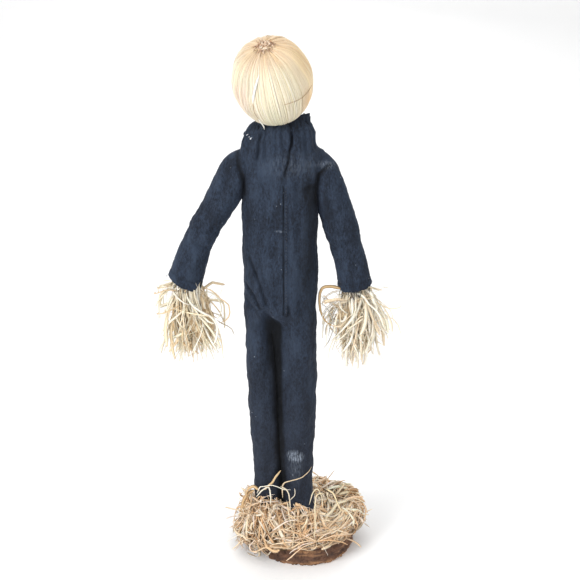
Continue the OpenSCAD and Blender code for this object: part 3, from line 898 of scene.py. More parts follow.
PAINTED_SHADE_PATCHES = (
    # ovals of painted shade on the back, under the right shoulder and down both sides: centre (x, z), reach (x,
    # z), strength
    ((27, 412), (8, 8), 0.6),
    ((31, 385), (10, 50), 0.5),
    ((27, 325), (12, 50), 0.38),
    ((-34, 385), (6, 60), 0.3),
)
ARMHOLES = (
    # where each sleeve is set into the back, as (x, z) places in millimetres
    ((-39, 457), (-43, 452), (-42.5, 446), (-41, 437), (-37.5, 427), (-37, 412), (-39, 400)),
    ((50, 441), (42, 434), (36, 428), (34, 417), (34, 405), (37, 390)),
)


# painted shade: darkens the back's cloth in these ovals
def paint_shade_patches(points, facing, shade):
    for centre, reach, amount in PAINTED_SHADE_PATCHES:
        offset = (back_view(points) / MM - centre) / reach
        shade *= 1 - amount * np.exp(-(offset[:, 0] ** 2 + offset[:, 1] ** 2)) * (facing[:, 1] < 0)


def paint_armhole_shade(points, facing, shade):
    """Paints shade on the cloth along both armhole seams of the back, where it turns inwards."""
    for line in ARMHOLES:
        distance, along = line_distance(back_view(points), np.array(line, float) * MM)
        ends = smoothstep(0, 0.12, along) * smoothstep(1, 0.85, along)
        shade *= 1 - 0.62 * ends * falloff(distance / (2.0 * MM)) * smoothstep(0.3, -0.1, facing[:, 1])


def joined(name, parts, material):
    """One object made of several (vertices, faces) parts."""
    verts, faces, start = [], [], 0
    for part_verts, part_faces in parts:
        verts.append(part_verts)
        faces += [tuple(i + start for i in f) for f in part_faces]
        start += len(part_verts)
    return new_object(name, np.concatenate(verts), faces, material)


TORSO_SHAPE = (
    # height, centre x, centre y, half width, half depth
    (277, -1.5, 1, 31, 15), (281, -1.5, 0, 36.0, 19.5), (292, -1.2, -0.5, 38.0, 22), (310, -1.2, 0, 38.5, 22.5),
    (345, -1.2, 0, 38.8, 22.5), (385, -1.2, 0, 38.8, 22), (408, -1.0, 0, 39.2, 21), (420, -0.5, -0.5, 40.5, 20),
    (430, 0.5, -1, 42.5, 18.5), (438, 1.5, -1.5, 44.5, 17.5), (444, 1.5, -2, 43.5, 17),
    (449, -1.0, -2, 39.5, 16.8), (453, -2.0, -2.5, 37.0, 16.8), (462, -1.0, -3, 35.8, 16.6),
    (469, -0.2, -3, 33.0, 16), (474, 0.4, -3, 28.0, 15), (477, 0.8, -3, 23.0, 12.5), (479, 0.8, -3, 17.0, 9),
)
LEFT_LEG_SHAPE = (
    (54, -14.4, 3, 14.6, 15), (75, -14.8, 2.6, 14.6, 15.2), (105, -15.9, 2, 14.4, 15.4),
    (133, -17.6, 1.6, 14.3, 15.6), (162, -19.5, 1.2, 14.2, 15.8), (190, -21.2, 0.8, 14.2, 16),
    (218, -22.9, 0.4, 13.4, 16.4), (246, -25.3, 0.2, 12.0, 16.8), (274, -27.6, 0, 10.2, 17.4),
    (294, -28.2, 0, 9.6, 18),
)
RIGHT_LEG_SHAPE = (
    (54, 19.6, -4, 16.2, 15.4), (66, 19.4, -4, 16.2, 15.2), (84, 18.4, -3.8, 15.0, 14.8),
    (100, 18.2, -3.4, 15.4, 15.0), (150, 18.7, -2.6, 16.8, 15.6), (210, 18.8, -1.2, 17.9, 16.6),
    (262, 18.2, -0.4, 18.6, 18.2), (292, 17.8, 0, 18.4, 19),
)
GAP_WEB_SHAPE = (
    # the cloth seen in the depth between the legs
    (58, 1.5, 2, 5, 6), (133, -2.6, 4, 5, 7), (190, -6.0, 5, 6, 8), (218, -7.5, 6, 8, 9),
    (250, -9.5, 6, 10, 10), (290, -10, 5, 16, 12),
)
CROTCH = ((-11.5, 268), (-8.6, 246), (-6.8, 218), (-5.8, 190), (-4.4, 150), (-2.4, 118), (-0.8, 80), (0, 60))
BACK_SEAM = ((2.4, 421), (2.2, 412), (2.0, 374), (1.9, 343), (2.4, 302), (2.3, 283))
FRONT_SEAM = ((0.5, 452), (0.3, 400), (0, 340), (-1, 283))
BACK_FOLDS = (
    # each fold: (x, z) places, width, depth, painted crease shade
    # at the neck
    (((-18.8, 474), (-19.6, 467), (-21.0, 461), (-21.8, 451), (-23.6, 438)), 1.8, 2.8, 0.6),
    (((6.2, 476), (10.3, 468), (9.9, 460), (8.0, 453), (7.1, 442), (3.9, 432), (2.3, 421)), 1.5, 3.0, 0.8),
    (((20.8, 471), (21.8, 462), (24, 452), (27, 441)), 3.2, 1.9, 0.2),
    (((30, 464), (31, 455), (28, 446)), 2.6, 1.3, 0.2),
    (((-28, 466), (-31, 457), (-33, 447)), 2.4, 1.5, 0.2),
    (((-12.5, 465), (-14.5, 452), (-15.5, 440)), 2.8, 1.0, 0.1),
    # at the armholes
    (((-43, 451), (-41, 439), (-36.5, 427), (-35.5, 412), (-37.0, 399)), 2.2, 2.4, 0.6),
    (((46, 438), (36, 428), (33.4, 417), (32.6, 404), (35.5, 388)), 2.2, 2.8, 0.65),
    (((21, 414), (27, 417), (33, 420)), 3.4, 2.0, 0.3),
    (((14, 424), (17, 410), (18, 395)), 4.0, 1.1, 0.1),
    # at the hips
    (((-34.5, 352), (-32.0, 346), (-26.5, 333), (-19.5, 313), (-14.5, 296), (-13.0, 288)), 1.9, 2.6, 0.55),
    (((-37.5, 322), (-34.5, 314), (-27.0, 305), (-21.5, 293), (-16.5, 286)), 1.8, 2.6, 0.6),
    (((-37, 302), (-29, 293), (-21, 288)), 2.0, 1.4, 0.2),
    (((-22, 346), (-20, 332), (-15, 318)), 2.8, 1.0, 0.12),
    (((-6, 292), (-5, 300), (-7, 312)), 2.2, 0.8, 0.1),
    (((6.3, 299), (7.0, 292), (5.2, 283)), 1.4, 2.2, 0.5),
    (((16, 304), (18, 296), (17, 286)), 2.6, 1.0, 0.1),
    # down the back
    (((-27, 372), (-24, 340), (-26, 318)), 4.5, 1.1, 0.08),
    (((22, 372), (20, 345), (22, 318)), 5.0, 1.0, 0.08),
    (((-11.1, 373), (-11.4, 366), (-8.6, 358), (-4.2, 357)), 1.1, 0.7, 0.3),
    (((-6.4, 377.8), (0.0, 377.6)), 0.8, 0.5, 0.3),
)
FRONT_FOLDS = (
    # each fold: (x, z) places, width, depth, painted crease shade
    (((-14, 470), (-17, 455), (-16, 440)), 2.4, 2.0, 0.3),
    (((6, 470), (9, 455), (8, 438)), 2.4, 2.2, 0.3),
    (((24, 462), (26, 450), (25, 438)), 2.6, 1.6, 0.2),
    (((-39, 442), (-35, 428), (-34, 412), (-36, 398)), 2.4, 2.4, 0.4),
    (((39, 442), (35, 428), (33, 412), (35, 396)), 2.4, 2.4, 0.4),
    (((-20, 312), (-12, 300), (-6, 288)), 2.0, 1.8, 0.25),
    (((18, 312), (10, 300), (4, 288)), 2.0, 1.8, 0.25),
    (((-20, 380), (-24, 350), (-22, 325)), 4.6, 1.1, 0.08),
    (((24, 385), (21, 352), (23, 322)), 4.6, 1.1, 0.08),
)
CLOTH_SETTINGS = {
    "quality": 6, "mass": 0.15, "tension_stiffness": 9, "compression_stiffness": 5, "shear_stiffness": 3,
    "bending_stiffness": 0.12, "air_damping": 2, "shrink_min": -0.06, "use_pressure": True,
    "uniform_pressure_force": 2.2,
}
CLOTH_FRAMES = 20


def settle(obj, cap):
    """Blows the cloth up gently by cloth simulation, and keeps each point within cap metres of its start."""
    scene = bpy.context.scene
    start = coords(obj.data)
    cloth = obj.modifiers.new("Cloth", "CLOTH")
    for key, value in CLOTH_SETTINGS.items():
        setattr(cloth.settings, key, value)
    cloth.settings.effector_weights.gravity = 0
    cloth.point_cache.frame_start = 1
    cloth.point_cache.frame_end = CLOTH_FRAMES
    for number in range(1, CLOTH_FRAMES + 1):
        scene.frame_set(number)
    depsgraph = bpy.context.evaluated_depsgraph_get()
    mesh = bpy.data.meshes.new_from_object(obj.evaluated_get(depsgraph))
    moved = coords(mesh) - start
    obj.modifiers.clear()
    scene.frame_set(1)
    moved -= moved.mean(axis=0)
    length = np.linalg.norm(moved, axis=1, keepdims=True)
    moved *= cap * np.tanh(length / cap) / np.maximum(length, 1e-9)
    set_coords(obj.data, start + moved)


def coverall_skin():
    """Torso, neck gather and both trouser legs, sewn into one even skin."""
    shapes = [upright_loft(TORSO_SHAPE, 90, 72, 2.35), upright_loft(LEFT_LEG_SHAPE, 70, 48, 2.2),
              upright_loft(RIGHT_LEG_SHAPE, 70, 48, 2.2), upright_loft(GAP_WEB_SHAPE, 30, 32, 2.0)]
    obj = joined("coverall_cloth", shapes, MATERIALS["dark_cotton"])
    bake(obj, ("REMESH", {"mode": "VOXEL", "voxel_size": 4.0 * MM}))
    settle(obj, 2.2 * MM)
    bake(obj, ("SUBSURF", {"levels": 1, "render_levels": 1}))
    bake(obj, ("REMESH", {"mode": "VOXEL", "voxel_size": 1.45 * MM, "use_smooth_shade": True}),
         ("SMOOTH", {"factor": 0.5, "iterations": 8}))
    return obj


def crumple(points, facing, shade, height):
    """Pleats at the neck, drag lines and wrinkles all over, and faint rings down the legs."""
    at_neck = smoothstep(438, 462, height)
    around = np.arctan2(points[:, 1] - (-2 * MM), points[:, 0])
    pleat = np.sin(15 * around + 0.03 * height) + 0.6 * np.sin(24 * around + 1.3 + 0.02 * height)
    points += facing * (pleat * 0.75 * MM * at_neck)[:, None]
    # painted shade in the hollows of the neck pleats
    shade *= 1 - 0.22 * at_neck * smoothstep(0.3, 1.4, -pleat)
    drag = waves(points, 3, 21 * MM, 7, (0.8, 1, 1.9))
    small = waves(points, 4, 8 * MM, 7, (0.8, 1, 1.8))
    fine = waves(points, 6, 3.6 * MM, 7)
    points += facing * ((0.7 * drag + 0.28 * small + 0.07 * fine) * MM)[:, None]
    in_legs = 1 - smoothstep(280, 300, height)
    rings = np.sin(height / 9.5 + 3.0 * waves(points, 8, 60 * MM, 4))
    points += facing * (0.22 * MM * in_legs * rings)[:, None]


def press_seams(points, facing, shade, height):
    """The left hip's raised hem, the line where the legs part, and the seams of the back and the front."""
    x = points[:, 0] / MM
    hem_lift = 8 * smoothstep(-3, -15, x) * smoothstep(-22, -17, x)
    points[:, 2] += hem_lift * smoothstep(298, 284, height) * smoothstep(266, 276, height) * MM
    # painted shade along the line where the legs part and in the seams' grooves
    for front in (False, True):
        press_fold(points, facing, shade, CROTCH, 1.6, 2.0, 0.8, front=front, ends=0.06)
    press_fold(points, facing, shade, BACK_SEAM, 0.9, 1.5, 0.7, ends=0.04)
    ridge = [(x + 3.0, z) for x, z in BACK_SEAM]
    press_fold(points, facing, shade, ridge, 1.6, -0.5, ends=0.1)
    press_fold(points, facing, shade, FRONT_SEAM, 0.9, 1.3, 0.6, front=True, ends=0.04)


def paint_leg_gap_shade(points, facing, shade, height):
    """Paints shade on the cloth in the depth between the legs."""
    middle = np.interp(height, [60, 133, 190, 218, 250, 280], [0, -2.5, -6, -7, -9, -10])
    reach = np.interp(height, [60, 190, 250, 280], [5, 6, 9, 11])
    across = np.abs(points[:, 0] / MM - middle) / reach
    gap = smoothstep(-15, -8, points[:, 1] / MM) * smoothstep(1.3, 0.8, across)
    shade *= 1 - 0.9 * gap * smoothstep(289, 282, height) * (facing[:, 1] < 0.3)


def coverall_body():
    """The coverall's body and legs, with the folds and seams of the back and front."""
    obj = coverall_skin()
    points, facing = coords(obj.data), normals(obj.data)
    shade = np.ones(len(points))
    height = points[:, 2] / MM
    crumple(points, facing, shade, height)
    press_folds(points, facing, shade, BACK_FOLDS)
    press_folds(points, facing, shade, FRONT_FOLDS, front=True)
    paint_armhole_shade(points, facing, shade)
    paint_shade_patches(points, facing, shade)
    press_seams(points, facing, shade, height)
    paint_leg_gap_shade(points, facing, shade, height)
    set_coords(obj.data, points)
    # the painted shade of folds, seams, gaps and patches goes into the vertex tint
    set_shade(obj.data, shade)
    dress(obj, "figure", "dark_cotton", "coverall_body", "left_trouser_leg", "right_trouser_leg", "back_seam",
          "torso_stuffing", "left_leg_stuffing", "right_leg_stuffing")
    return obj


def on_back(obj, x, z):
    """Where a line along Y at this x and z, in millimetres, meets a cloth piece's back."""
    hit, place, _, _ = obj.ray_cast(vec(x, -200, z), FORWARD)
    return np.array(place) if hit else vec(x, -20, z)


def seam_stitches(cloth):
    """The small even stitches that show beside the centre-back seam."""
    x, length, pitch = 4.7, 1.9, 3.1
    line = Ribbons()
    for z in np.arange(286, 418, pitch):
        start = on_back(cloth, x, z)
        stop = on_back(cloth, x, z + length)
        middle = (start + stop) / 2 - vec(0, 0.2, 0)
        path = [start, middle, stop]
        line.add(path, 0.4 * MM, BACKWARD, linear(20, 23, 32), cup=0.3, thick=0.3 * MM)
    dress(line.build("back_seam_stitches", MATERIALS["dark_thread"]), "figure", "dark_thread")


COLLAR_FOOT = 459  # height of the collar's lower edge, in millimetres
COLLAR_FOLDS = (
    # each fold: (x, z) places, width, depth, painted crease shade
    (((-18.6, 478), (-19.4, 467), (-21.0, 461), (-21.6, 452)), 1.7, 2.6, 0.6),
    (((6.0, 479), (6.6, 474), (10.4, 468), (9.9, 460), (8.6, 451)), 1.5, 2.8, 0.8),
    (((20, 474), (21.8, 463), (24, 452)), 2.8, 1.6, 0.2),
    (((-29, 470), (-32, 460), (-35, 452)), 2.2, 1.4, 0.2),
)


def gathered_collar():
    """The cloth above the neck tie: a pleated ruffle with a ragged top, highest at the figure's right."""
    rng = np.random.RandomState(21)
    around, rows = 220, 26
    angle = circle_angles(around)
    c, s = np.cos(angle), np.sin(angle)
    pleat = np.sin(17 * angle + 0.5) + 0.55 * np.sin(29 * angle + 2.0) + 0.35 * np.sin(11 * angle)
    ragged = rng.normal(size=around)
    ragged = (ragged + np.roll(ragged, 1)) * 0.35
    from_corner = turned_from(angle, -14)
    right_corner = falloff(from_corner / np.where(from_corner < 0, math.radians(34), math.radians(9)))
    right_side = smoothstep(-0.35, 0.75, np.cos(angle - math.radians(8)))
    top = 476.5 + ragged * (1 - 0.8 * right_corner) + 5.8 * right_side + 5.6 * right_corner
    top -= 0.5 * lobe(angle, 255, 48)
    top += 0.9 * np.sin(5 * angle)
    top += 1.7 * lobe(angle, -44, 15)
    outer, inner = [], []
    for i in range(rows):
        t = i / (rows - 1)
        z = COLLAR_FOOT + (top - COLLAR_FOOT) * t
        narrow = smoothstep(462, 483, z) * (1 - 0.55 * right_side) + 0.12 * smoothstep(450, 466, z)
        tucked = 4.0 * (1 - smoothstep(0, 0.5, t))
        half_w = 37.2 - 17.0 * narrow - tucked
        half_d = 17.4 - 3.6 * narrow + 1.0 * right_corner * t ** 2 - tucked
        swing = pleat * (0.35 + 0.9 * t)
        x = -2.0 + 1.4 * right_side * t + (half_w + swing) * np.sign(c) * np.abs(c) ** 0.85
        y = -2.8 + (half_d + swing) * np.sign(s) * np.abs(s) ** 0.85
        outer.append(np.stack([x, y, z], 1))
        inward = np.stack([c, s * 0.9, 0 * c], 1)
        inner.append(outer[-1] - inward * (1.15 + 0.5 * (1 - t)))
    verts = np.concatenate(outer + inner[::-1]) * MM
    loops = 2 * rows
    obj = new_object("gathered_collar", verts, tube_faces(loops, around, "joined"), MATERIALS["dark_cotton"])
    points, facing = coords(obj.data), normals(obj.data)
    points += facing * (0.35 * MM * waves(points, 31, 9 * MM, 7, (0.8, 0.8, 1.6)))[:, None]
    shade = np.ones(len(points))
    press_folds(points, facing, shade, COLLAR_FOLDS, ends=0.1)
    # painted shade in the hollows of the pleats
    shade *= 1 - 0.25 * smoothstep(0.2, 1.5, -np.tile(pleat, loops))
    # painted shade towards the ragged top, where the head overhangs
    shade *= 1 - 0.4 * smoothstep(466, 476, points[:, 2] / MM)
    set_coords(obj.data, points)
    set_shade(obj.data, shade)
    dress(obj, "figure", "dark_cotton", "collar")
    return obj


def lining_scrap(collar):
    """A frayed scrap of pale lining that shows through the gather at the left of the neck."""
    rng = np.random.RandomState(8)
    scrap = Ribbons()
    for i in range(14):
        x, z = -34.5 + 0.45 * i, 466.8 - 0.5 * i + rng.uniform(-1.6, 1.6)
        start = on_back(collar, x, z) - vec(0, 0.7, 0)
        stop = on_back(collar, x + rng.uniform(1.8, 3.8), z + rng.uniform(0.8, 3.0)) - vec(0, 1.0, 0)
        path = [start, start * 0.5 + stop * 0.5 - vec(0, 0.9, 0), stop]
        width = rng.uniform(0.7, 1.7) * MM
        scrap.add(path, width, np.array([0, -1, 0.2]), linear(206, 212, 222), cup=0.2, thick=0.3 * MM)
    dress(scrap.build("lining_scrap", MATERIALS["straw"]), "figure", "white_strand")


# ---------------------------------------------------------------- sleeves

SLEEVE_SHAPE = {
    # distance down from the shoulder, offset outwards, half width, half depth
    LEFT: (
        (-27, 0, 2, 2), (-25.5, 0, 7.0, 7.0), (-21, 0, 10.5, 10.0), (-12, 0.6, 13.8, 13.2),
        (0, 1.0, 16.0, 15.0), (14, 0, 17.0, 15.8), (34, 0.2, 16.4, 15.6), (52, 1.6, 15.2, 15.0),
        (66, 3.4, 14.8, 14.6), (80, 4.8, 15.2, 15.0), (98, 5.4, 16.6, 16.0), (116, 5.2, 17.2, 16.4),
        (122, 5.0, 17.4, 16.6),
    ),
    RIGHT: (
        (-24, -1, 2, 2), (-22.5, -1, 7.0, 7.0), (-18, -1.2, 10.0, 10.2), (-8, -1.8, 12.6, 12.8),
        (2, -1.8, 14.4, 14.6), (16, -2.0, 16.0, 15.6), (34, -2.4, 17.0, 15.8), (52, -2.4, 17.2, 15.4),
        (66, -2.0, 16.8, 15.2), (80, -1.2, 16.2, 15.2), (98, -0.1, 15.8, 15.6), (114, -0.2, 16.8, 16.0),
        (120, -0.2, 17.2, 16.4),
    ),
}
SLEEVE_FOLDS = {
    # (x, z) places, width, depth, painted crease shade
    LEFT: (
        (((-43, 453), (-42, 440), (-37.5, 427), (-36.5, 412), (-38, 399)), 2.6, 1.6, 0.55),
        (((-50, 426), (-57, 412), (-63, 398)), 3.5, 1.2, 0.12),
        (((-66, 402), (-72, 386), (-78, 372)), 3.8, 1.0, 0.1),
        (((-62, 380), (-70, 372), (-80, 369)), 2.6, 1.3, 0.15),
        (((-70, 352), (-80, 356), (-90, 364)), 2.6, 1.2, 0.15),
        (((-88, 352), (-94, 340), (-100, 330)), 3.4, 0.9, 0.1),
        (((-78, 344), (-84, 334), (-88, 326)), 2.6, 0.9, 0.1),
    ),
    RIGHT: (
        (((48, 440), (37.5, 429), (35, 417), (34, 405), (37, 388)), 2.6, 1.8, 0.6),
        (((56, 420), (59, 402), (60, 386)), 3.6, 1.1, 0.1),
        (((45, 408), (50, 394), (54, 380)), 3.4, 1.2, 0.12),
        (((48, 374), (57, 370), (68, 372)), 2.6, 1.2, 0.15),
        (((50, 352), (60, 356), (72, 364)), 2.6, 1.1, 0.12),
        (((70, 352), (72, 338), (76, 326)), 3.4, 0.9, 0.1),
        (((60, 340), (62, 330), (63, 322)), 2.6, 0.9, 0.1),
    ),
}
SLEEVE_AROUND = 72  # points in each ring of a sleeve
SLEEVE_RINGS = 118
SHOULDER_TURN = math.radians(52)  # how far the sleeve's head leans in over the shoulder
SHOULDER_BEND = 24  # length of the stretch above the shoulder joint that leans
SLEEVE_SPLIT = 38  # how far down the ring lies that the two pieces share
ELBOW_DOWN = 62  # how far down the elbow lies
CUFF_LINING = ((0.4, 0.5), (1.5, 1.3), (5, 1.5), (10, 1.8), (14, 2.4))  # depth into the cuff, and inset


class Arm:
    """An arm's joints and, for each half, its direction down and its direction outward."""

    def __init__(self, side):
        self.side = side
        self.name = SIDE_NAME[side]
        self.shoulder = pivot(self.name + "_shoulder")
        self.elbow = pivot(self.name + "_elbow")
        self.wrist = pivot(self.name + "_wrist")
        self.upper = unit(self.elbow - self.shoulder)
        self.lower = unit(self.wrist - self.elbow)
        self.out_upper = self.outward(self.upper)
        self.out_lower = self.outward(self.lower)

    def outward(self, down):
        across = np.cross(down, FORWARD)
        return unit(across if across[0] * self.side > 0 else -across)


def cuff_edge(side, angle):
    """How far the cuff's edge hangs down, in millimetres: slanting, ragged and, on the left, notched."""
    rng = np.random.RandomState(40 + side)
    jag = rng.normal(size=len(angle))
    jag = (jag + np.roll(jag, 1) + np.roll(jag, -1)) * 0.16
    slant = 2.4 - 2.8 * np.cos(angle) if side == LEFT else 0.6 * np.cos(angle)
    notch = (13.0 if side == LEFT else 0.0) * falloff(turned_from(angle, -150) / 0.2)
    return jag + slant + 2.8 * np.maximum(0, -np.sin(angle)) - notch


def sleeve_rings(arm):
    """Rings of points from the sleeve's rounded head to its cuff, and how far down each ring is."""
    upper, lower = arm.upper, arm.lower
    upper_length = np.linalg.norm(arm.elbow - arm.shoulder) / MM
    rows = spline(SLEEVE_SHAPE[arm.side], SLEEVE_RINGS)
    cuff, near = rows[-1, 0], 18  # the cuff's edge and the length above it that follows its slant
    edge = cuff_edge(arm.side, circle_angles(SLEEVE_AROUND))
    rings = []
    for down, offset, half_w, half_d in rows:
        turn = smoothstep(upper_length - 9, upper_length + 9, down)
        travel = down + edge * max(0.0, (down - (cuff - near)) / near) ** 1.5
        along = np.where(travel <= upper_length, 0, travel - upper_length)
        out = unit(arm.out_upper * (1 - turn) + arm.out_lower * turn)
        lean = SHOULDER_TURN * smoothstep(4, -SHOULDER_BEND, down)
        out = unit(out * math.cos(lean) - upper * math.sin(lean))
        above = min(down, 0.0)
        tilt = SHOULDER_TURN * 0.55 * min(1, -above / SHOULDER_BEND)
        rise, slip = above * math.cos(tilt), above * math.sin(tilt)
        centre = arm.shoulder + np.clip(travel, 0, upper_length)[:, None] * MM * upper
        centre = centre + along[:, None] * MM * lower
        centre = centre + (rise * upper + slip * arm.out_upper) * MM
        inside_bend = 0.12 * falloff((down - upper_length) / 7)
        centre = centre + out * (offset - 2.2 * inside_bend) * MM
        ring = oval(half_w, half_d, SLEEVE_AROUND, 2.15)
        rings.append(centre + ring[:, :1] * MM * out + ring[:, 1:] * MM * FORWARD)
    return np.array(rings), rows[:, 0]


def crumple_sleeve(arm, points, facing, shade, downs):
    """Drag lines, buckles inside the elbow, folds, the seam under the arm and the stitched hem, with painted
    shade in the folds, seam and hem and at the armhole.
    """
    side = arm.side
    down = np.repeat(downs, SLEEVE_AROUND)
    at_elbow = falloff((down - ELBOW_DOWN) / 15)
    drag = waves(points, 60 + side, 17 * MM, 7, (1.0, 1, 1.5))
    small = waves(points, 64 + side, 7 * MM, 7, (1.2, 1, 1.2))
    calm = smoothstep(-15, 4, down)
    points += facing * (((0.6 * drag + 0.26 * small) * (0.75 + 0.6 * at_elbow)) * calm * MM)[:, None]
    inner_side = np.clip(-(facing @ arm.out_lower), 0, 1)
    buckle = np.sin((down - ELBOW_DOWN) / 2.6) * falloff((down - ELBOW_DOWN) / 12) * inner_side
    points += facing * (0.35 * MM * buckle)[:, None]
    for line, width, depth, crease_shade in SLEEVE_FOLDS[side]:
        press_fold(points, facing, shade, line, width, depth, crease_shade)
        on_front = [(x + side * 1.5, z - 5) for x, z in line]
        press_fold(points, facing, shade, on_front, width, depth * 0.8, crease_shade, front=True)
    angle = np.tile(circle_angles(SLEEVE_AROUND), len(downs))
    under_seam = falloff(turned_from(angle, 180) / 0.05)
    points -= facing * (0.8 * MM * under_seam * calm)[:, None]
    # painted shade in the groove of the under-arm seam
    shade *= 1 - 0.5 * under_seam * calm
    hem = falloff((down - (downs[-1] - 6.5)) / 0.9)
    points -= facing * (0.5 * MM * hem)[:, None]
    # painted shade in the hem's fold
    shade *= 1 - 0.3 * hem
    # painted shade on the sleeve's head, where it goes into the body
    shade *= 1 - 0.3 * smoothstep(-10, -20, down)
    paint_armhole_shade(points, facing, shade)


def sleeve(arm):
    """One sleeve in two pieces, which share a ring part way down the upper arm. Returns the cuff's edge."""
    rings, downs = sleeve_rings(arm)
    count = len(downs)
    whole = new_object("whole", rings.reshape(-1, 3), tube_faces(count, SLEEVE_AROUND, "open"), None)
    points, facing = coords(whole.data), normals(whole.data)
    one_ring = slice(SLEEVE_AROUND * 50, SLEEVE_AROUND * 51)  # any ring away from the ends will do
    outside = outward_sign(points[one_ring], facing[one_ring])
    facing = facing * outside
    shade = np.ones(len(points))
    crumple_sleeve(arm, points, facing, shade, downs)
    set_coords(whole.data, points)
    facing = normals(whole.data) * outside
    bpy.data.objects.remove(whole)

    rings = points.reshape(count, SLEEVE_AROUND, 3)
    facing = facing.reshape(count, SLEEVE_AROUND, 3)
    shade = shade.reshape(count, SLEEVE_AROUND)
    split = int(np.searchsorted(downs, SLEEVE_SPLIT))
    above, below = slice(0, split + 1), slice(split, count)
    top = closed_tube(arm.name + "_upper_sleeve_cloth", rings[above], facing[above], shade[above], outside)
    dress_joint(top, arm.shoulder, arm.upper, "figure", arm.name + "_upper_arm",
                arm.name + "_upper_sleeve", arm.name + "_upper_stuffing")

    low_rings, low_facing, low_shade = list(rings[below]), list(facing[below]), list(shade[below])
    inward = unit(rings[-1].mean(0) - rings[-1])
    for depth, inset in CUFF_LINING:
        low_rings.append(rings[-1] - arm.lower * depth * MM + inward * inset * MM)
        low_facing.append(inward if depth > 1 else unit(arm.lower + inward * 0.3))
        # painted shade inside the cuff's lining
        low_shade.append(np.full(SLEEVE_AROUND, 0.5))
    low = closed_tube(arm.name + "_lower_sleeve_cloth", low_rings, low_facing, low_shade, outside)
    dress_joint(low, arm.elbow, unit(arm.upper + arm.lower), arm.name + "_upper_arm", arm.name + "_forearm",
                arm.name + "_lower_sleeve", arm.name + "_fore_stuffing")
    return rings[-1]


def dress_joint(obj, joint, along, body_above, body_below, *nodes):
    """Bakes a cloth piece's placement into its mesh, and hides the CAD nodes that it stands in for."""
    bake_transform(obj)
    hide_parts(*nodes)


def closed_tube(name, rings, ring_facing, ring_shade, outside):
    """A capped tube whose shading normals are given, so that two tubes can meet without a visible joint."""
    count, around = len(rings), SLEEVE_AROUND
    first, last = rings[0].mean(0), rings[-1].mean(0)
    axis = unit(last - first)
    verts = np.concatenate([*rings, [first, last]])
    given = np.concatenate([*ring_facing, [-axis, axis]])
    # painted shade on the caps' middles, inside the tube
    shade = np.concatenate([*ring_shade, [0.5, 0.3]])
    faces = tube_faces(count, around, "open")
    first_middle, last_middle = count * around, count * around + 1
    last_ring = (count - 1) * around
    for k in range(around):
        n = (k + 1) % around
        faces.append((n, k, first_middle))
        faces.append((last_ring + k, last_ring + n, last_middle))
    obj = new_object(name, verts, turned_over(faces) if outside < 0 else faces, MATERIALS["dark_cotton"])
    obj.data.normals_split_custom_set_from_vertices(given.tolist())
    set_shade(obj.data, shade)
    return obj


CUFF_LOOPS = {
    # x of the cuff's place that each loop of thread hangs from, and the loop's size
    LEFT: ((-96, 3.5),),
    RIGHT: ((70.5, 6.5), (76.5, 5.0), (74.0, 8.0)),
}


def cuff_threads(arm, edge):
    """Frayed black threads and loops of thread that hang from the cuff."""
    rng = np.random.RandomState(70 + arm.side)
    lower = arm.lower
    centre = edge.mean(0)
    threads = Ribbons()
    for _ in range(26):
        k = rng.randint(len(edge))
        start = edge[k] - lower * 0.8 * MM
        outward = unit(edge[k] - centre)
        heading = lower + outward * rng.uniform(-0.4, 0.9)
        path = wandering_path(rng, start, heading, rng.uniform(2.5, 8) * MM, 9, lower, 60, 240)
        threads.add(path, 0.35 * MM, outward, linear(24, 27, 36), cup=0.4, thick=0.3 * MM, ends=0.5)
    for x, size in CUFF_LOOPS[arm.side]:
        turn = np.linspace(-0.2, math.pi + 0.3, 16)[:, None]
        on_far_side = edge[:, 1] > centre[1]
        near = edge[np.argmin(np.abs(edge[:, 0] / MM - x) + 50 * on_far_side)]
        loop = near + lower * MM * (size * np.sin(turn)) + RIGHTWARD * MM * (0.42 * size * np.cos(turn))
        loop = loop - vec(0, 1.2, 0)
        threads.add(loop, 0.55 * MM, BACKWARD, linear(22, 24, 32), cup=0.4, thick=0.45 * MM, ends=0.8)
    obj = threads.build(arm.name + "_cuff_threads", MATERIALS["dark_thread"])
    dress(obj, arm.name + "_forearm", "dark_thread")


# ---------------------------------------------------------------- raffia hands

RAFFIA_CORE = {
    # distance below the wrist, half width, half depth
    LEFT: ((-8, 8, 9), (12, 12, 11), (30, 15, 12), (46, 15, 12), (58, 10, 9), (64, 3, 3)),
    RIGHT: ((-8, 8, 9), (10, 13, 11), (26, 16, 12), (42, 13, 11), (54, 8, 8), (62, 2, 2)),
}


def raffia_core(arm, hang):
    """The matted middle of a hand, which shows between the strands."""
    samples, around = 46, 64
    flat = np.zeros(around)
    ovals = [arm.wrist + hang * down * MM + np.column_stack([oval(half_w, half_d, around), flat]) * MM
             for down, half_w, half_d in spline(RAFFIA_CORE[arm.side], samples)]
    obj = new_object(arm.name + "_raffia_core", np.concatenate(ovals), tube_faces(samples, around),
                     MATERIALS["matted_raffia"])
    points, facing = coords(obj.data), normals(obj.data)
    clumps = waves(points, 120 + arm.side, 5 * MM, 9, (1, 1, 6))
    clumps += 0.8 * waves(points, 130 + arm.side, 2.4 * MM, 9, (1, 1, 7))
    outside = outward_sign(points, facing)
    points += facing * (outside * 1.3 * clumps * MM)[:, None]
    set_coords(obj.data, points)
    if outside < 0:
        obj.data.flip_normals()
    dress(obj, arm.name + "_hand", "raffia")


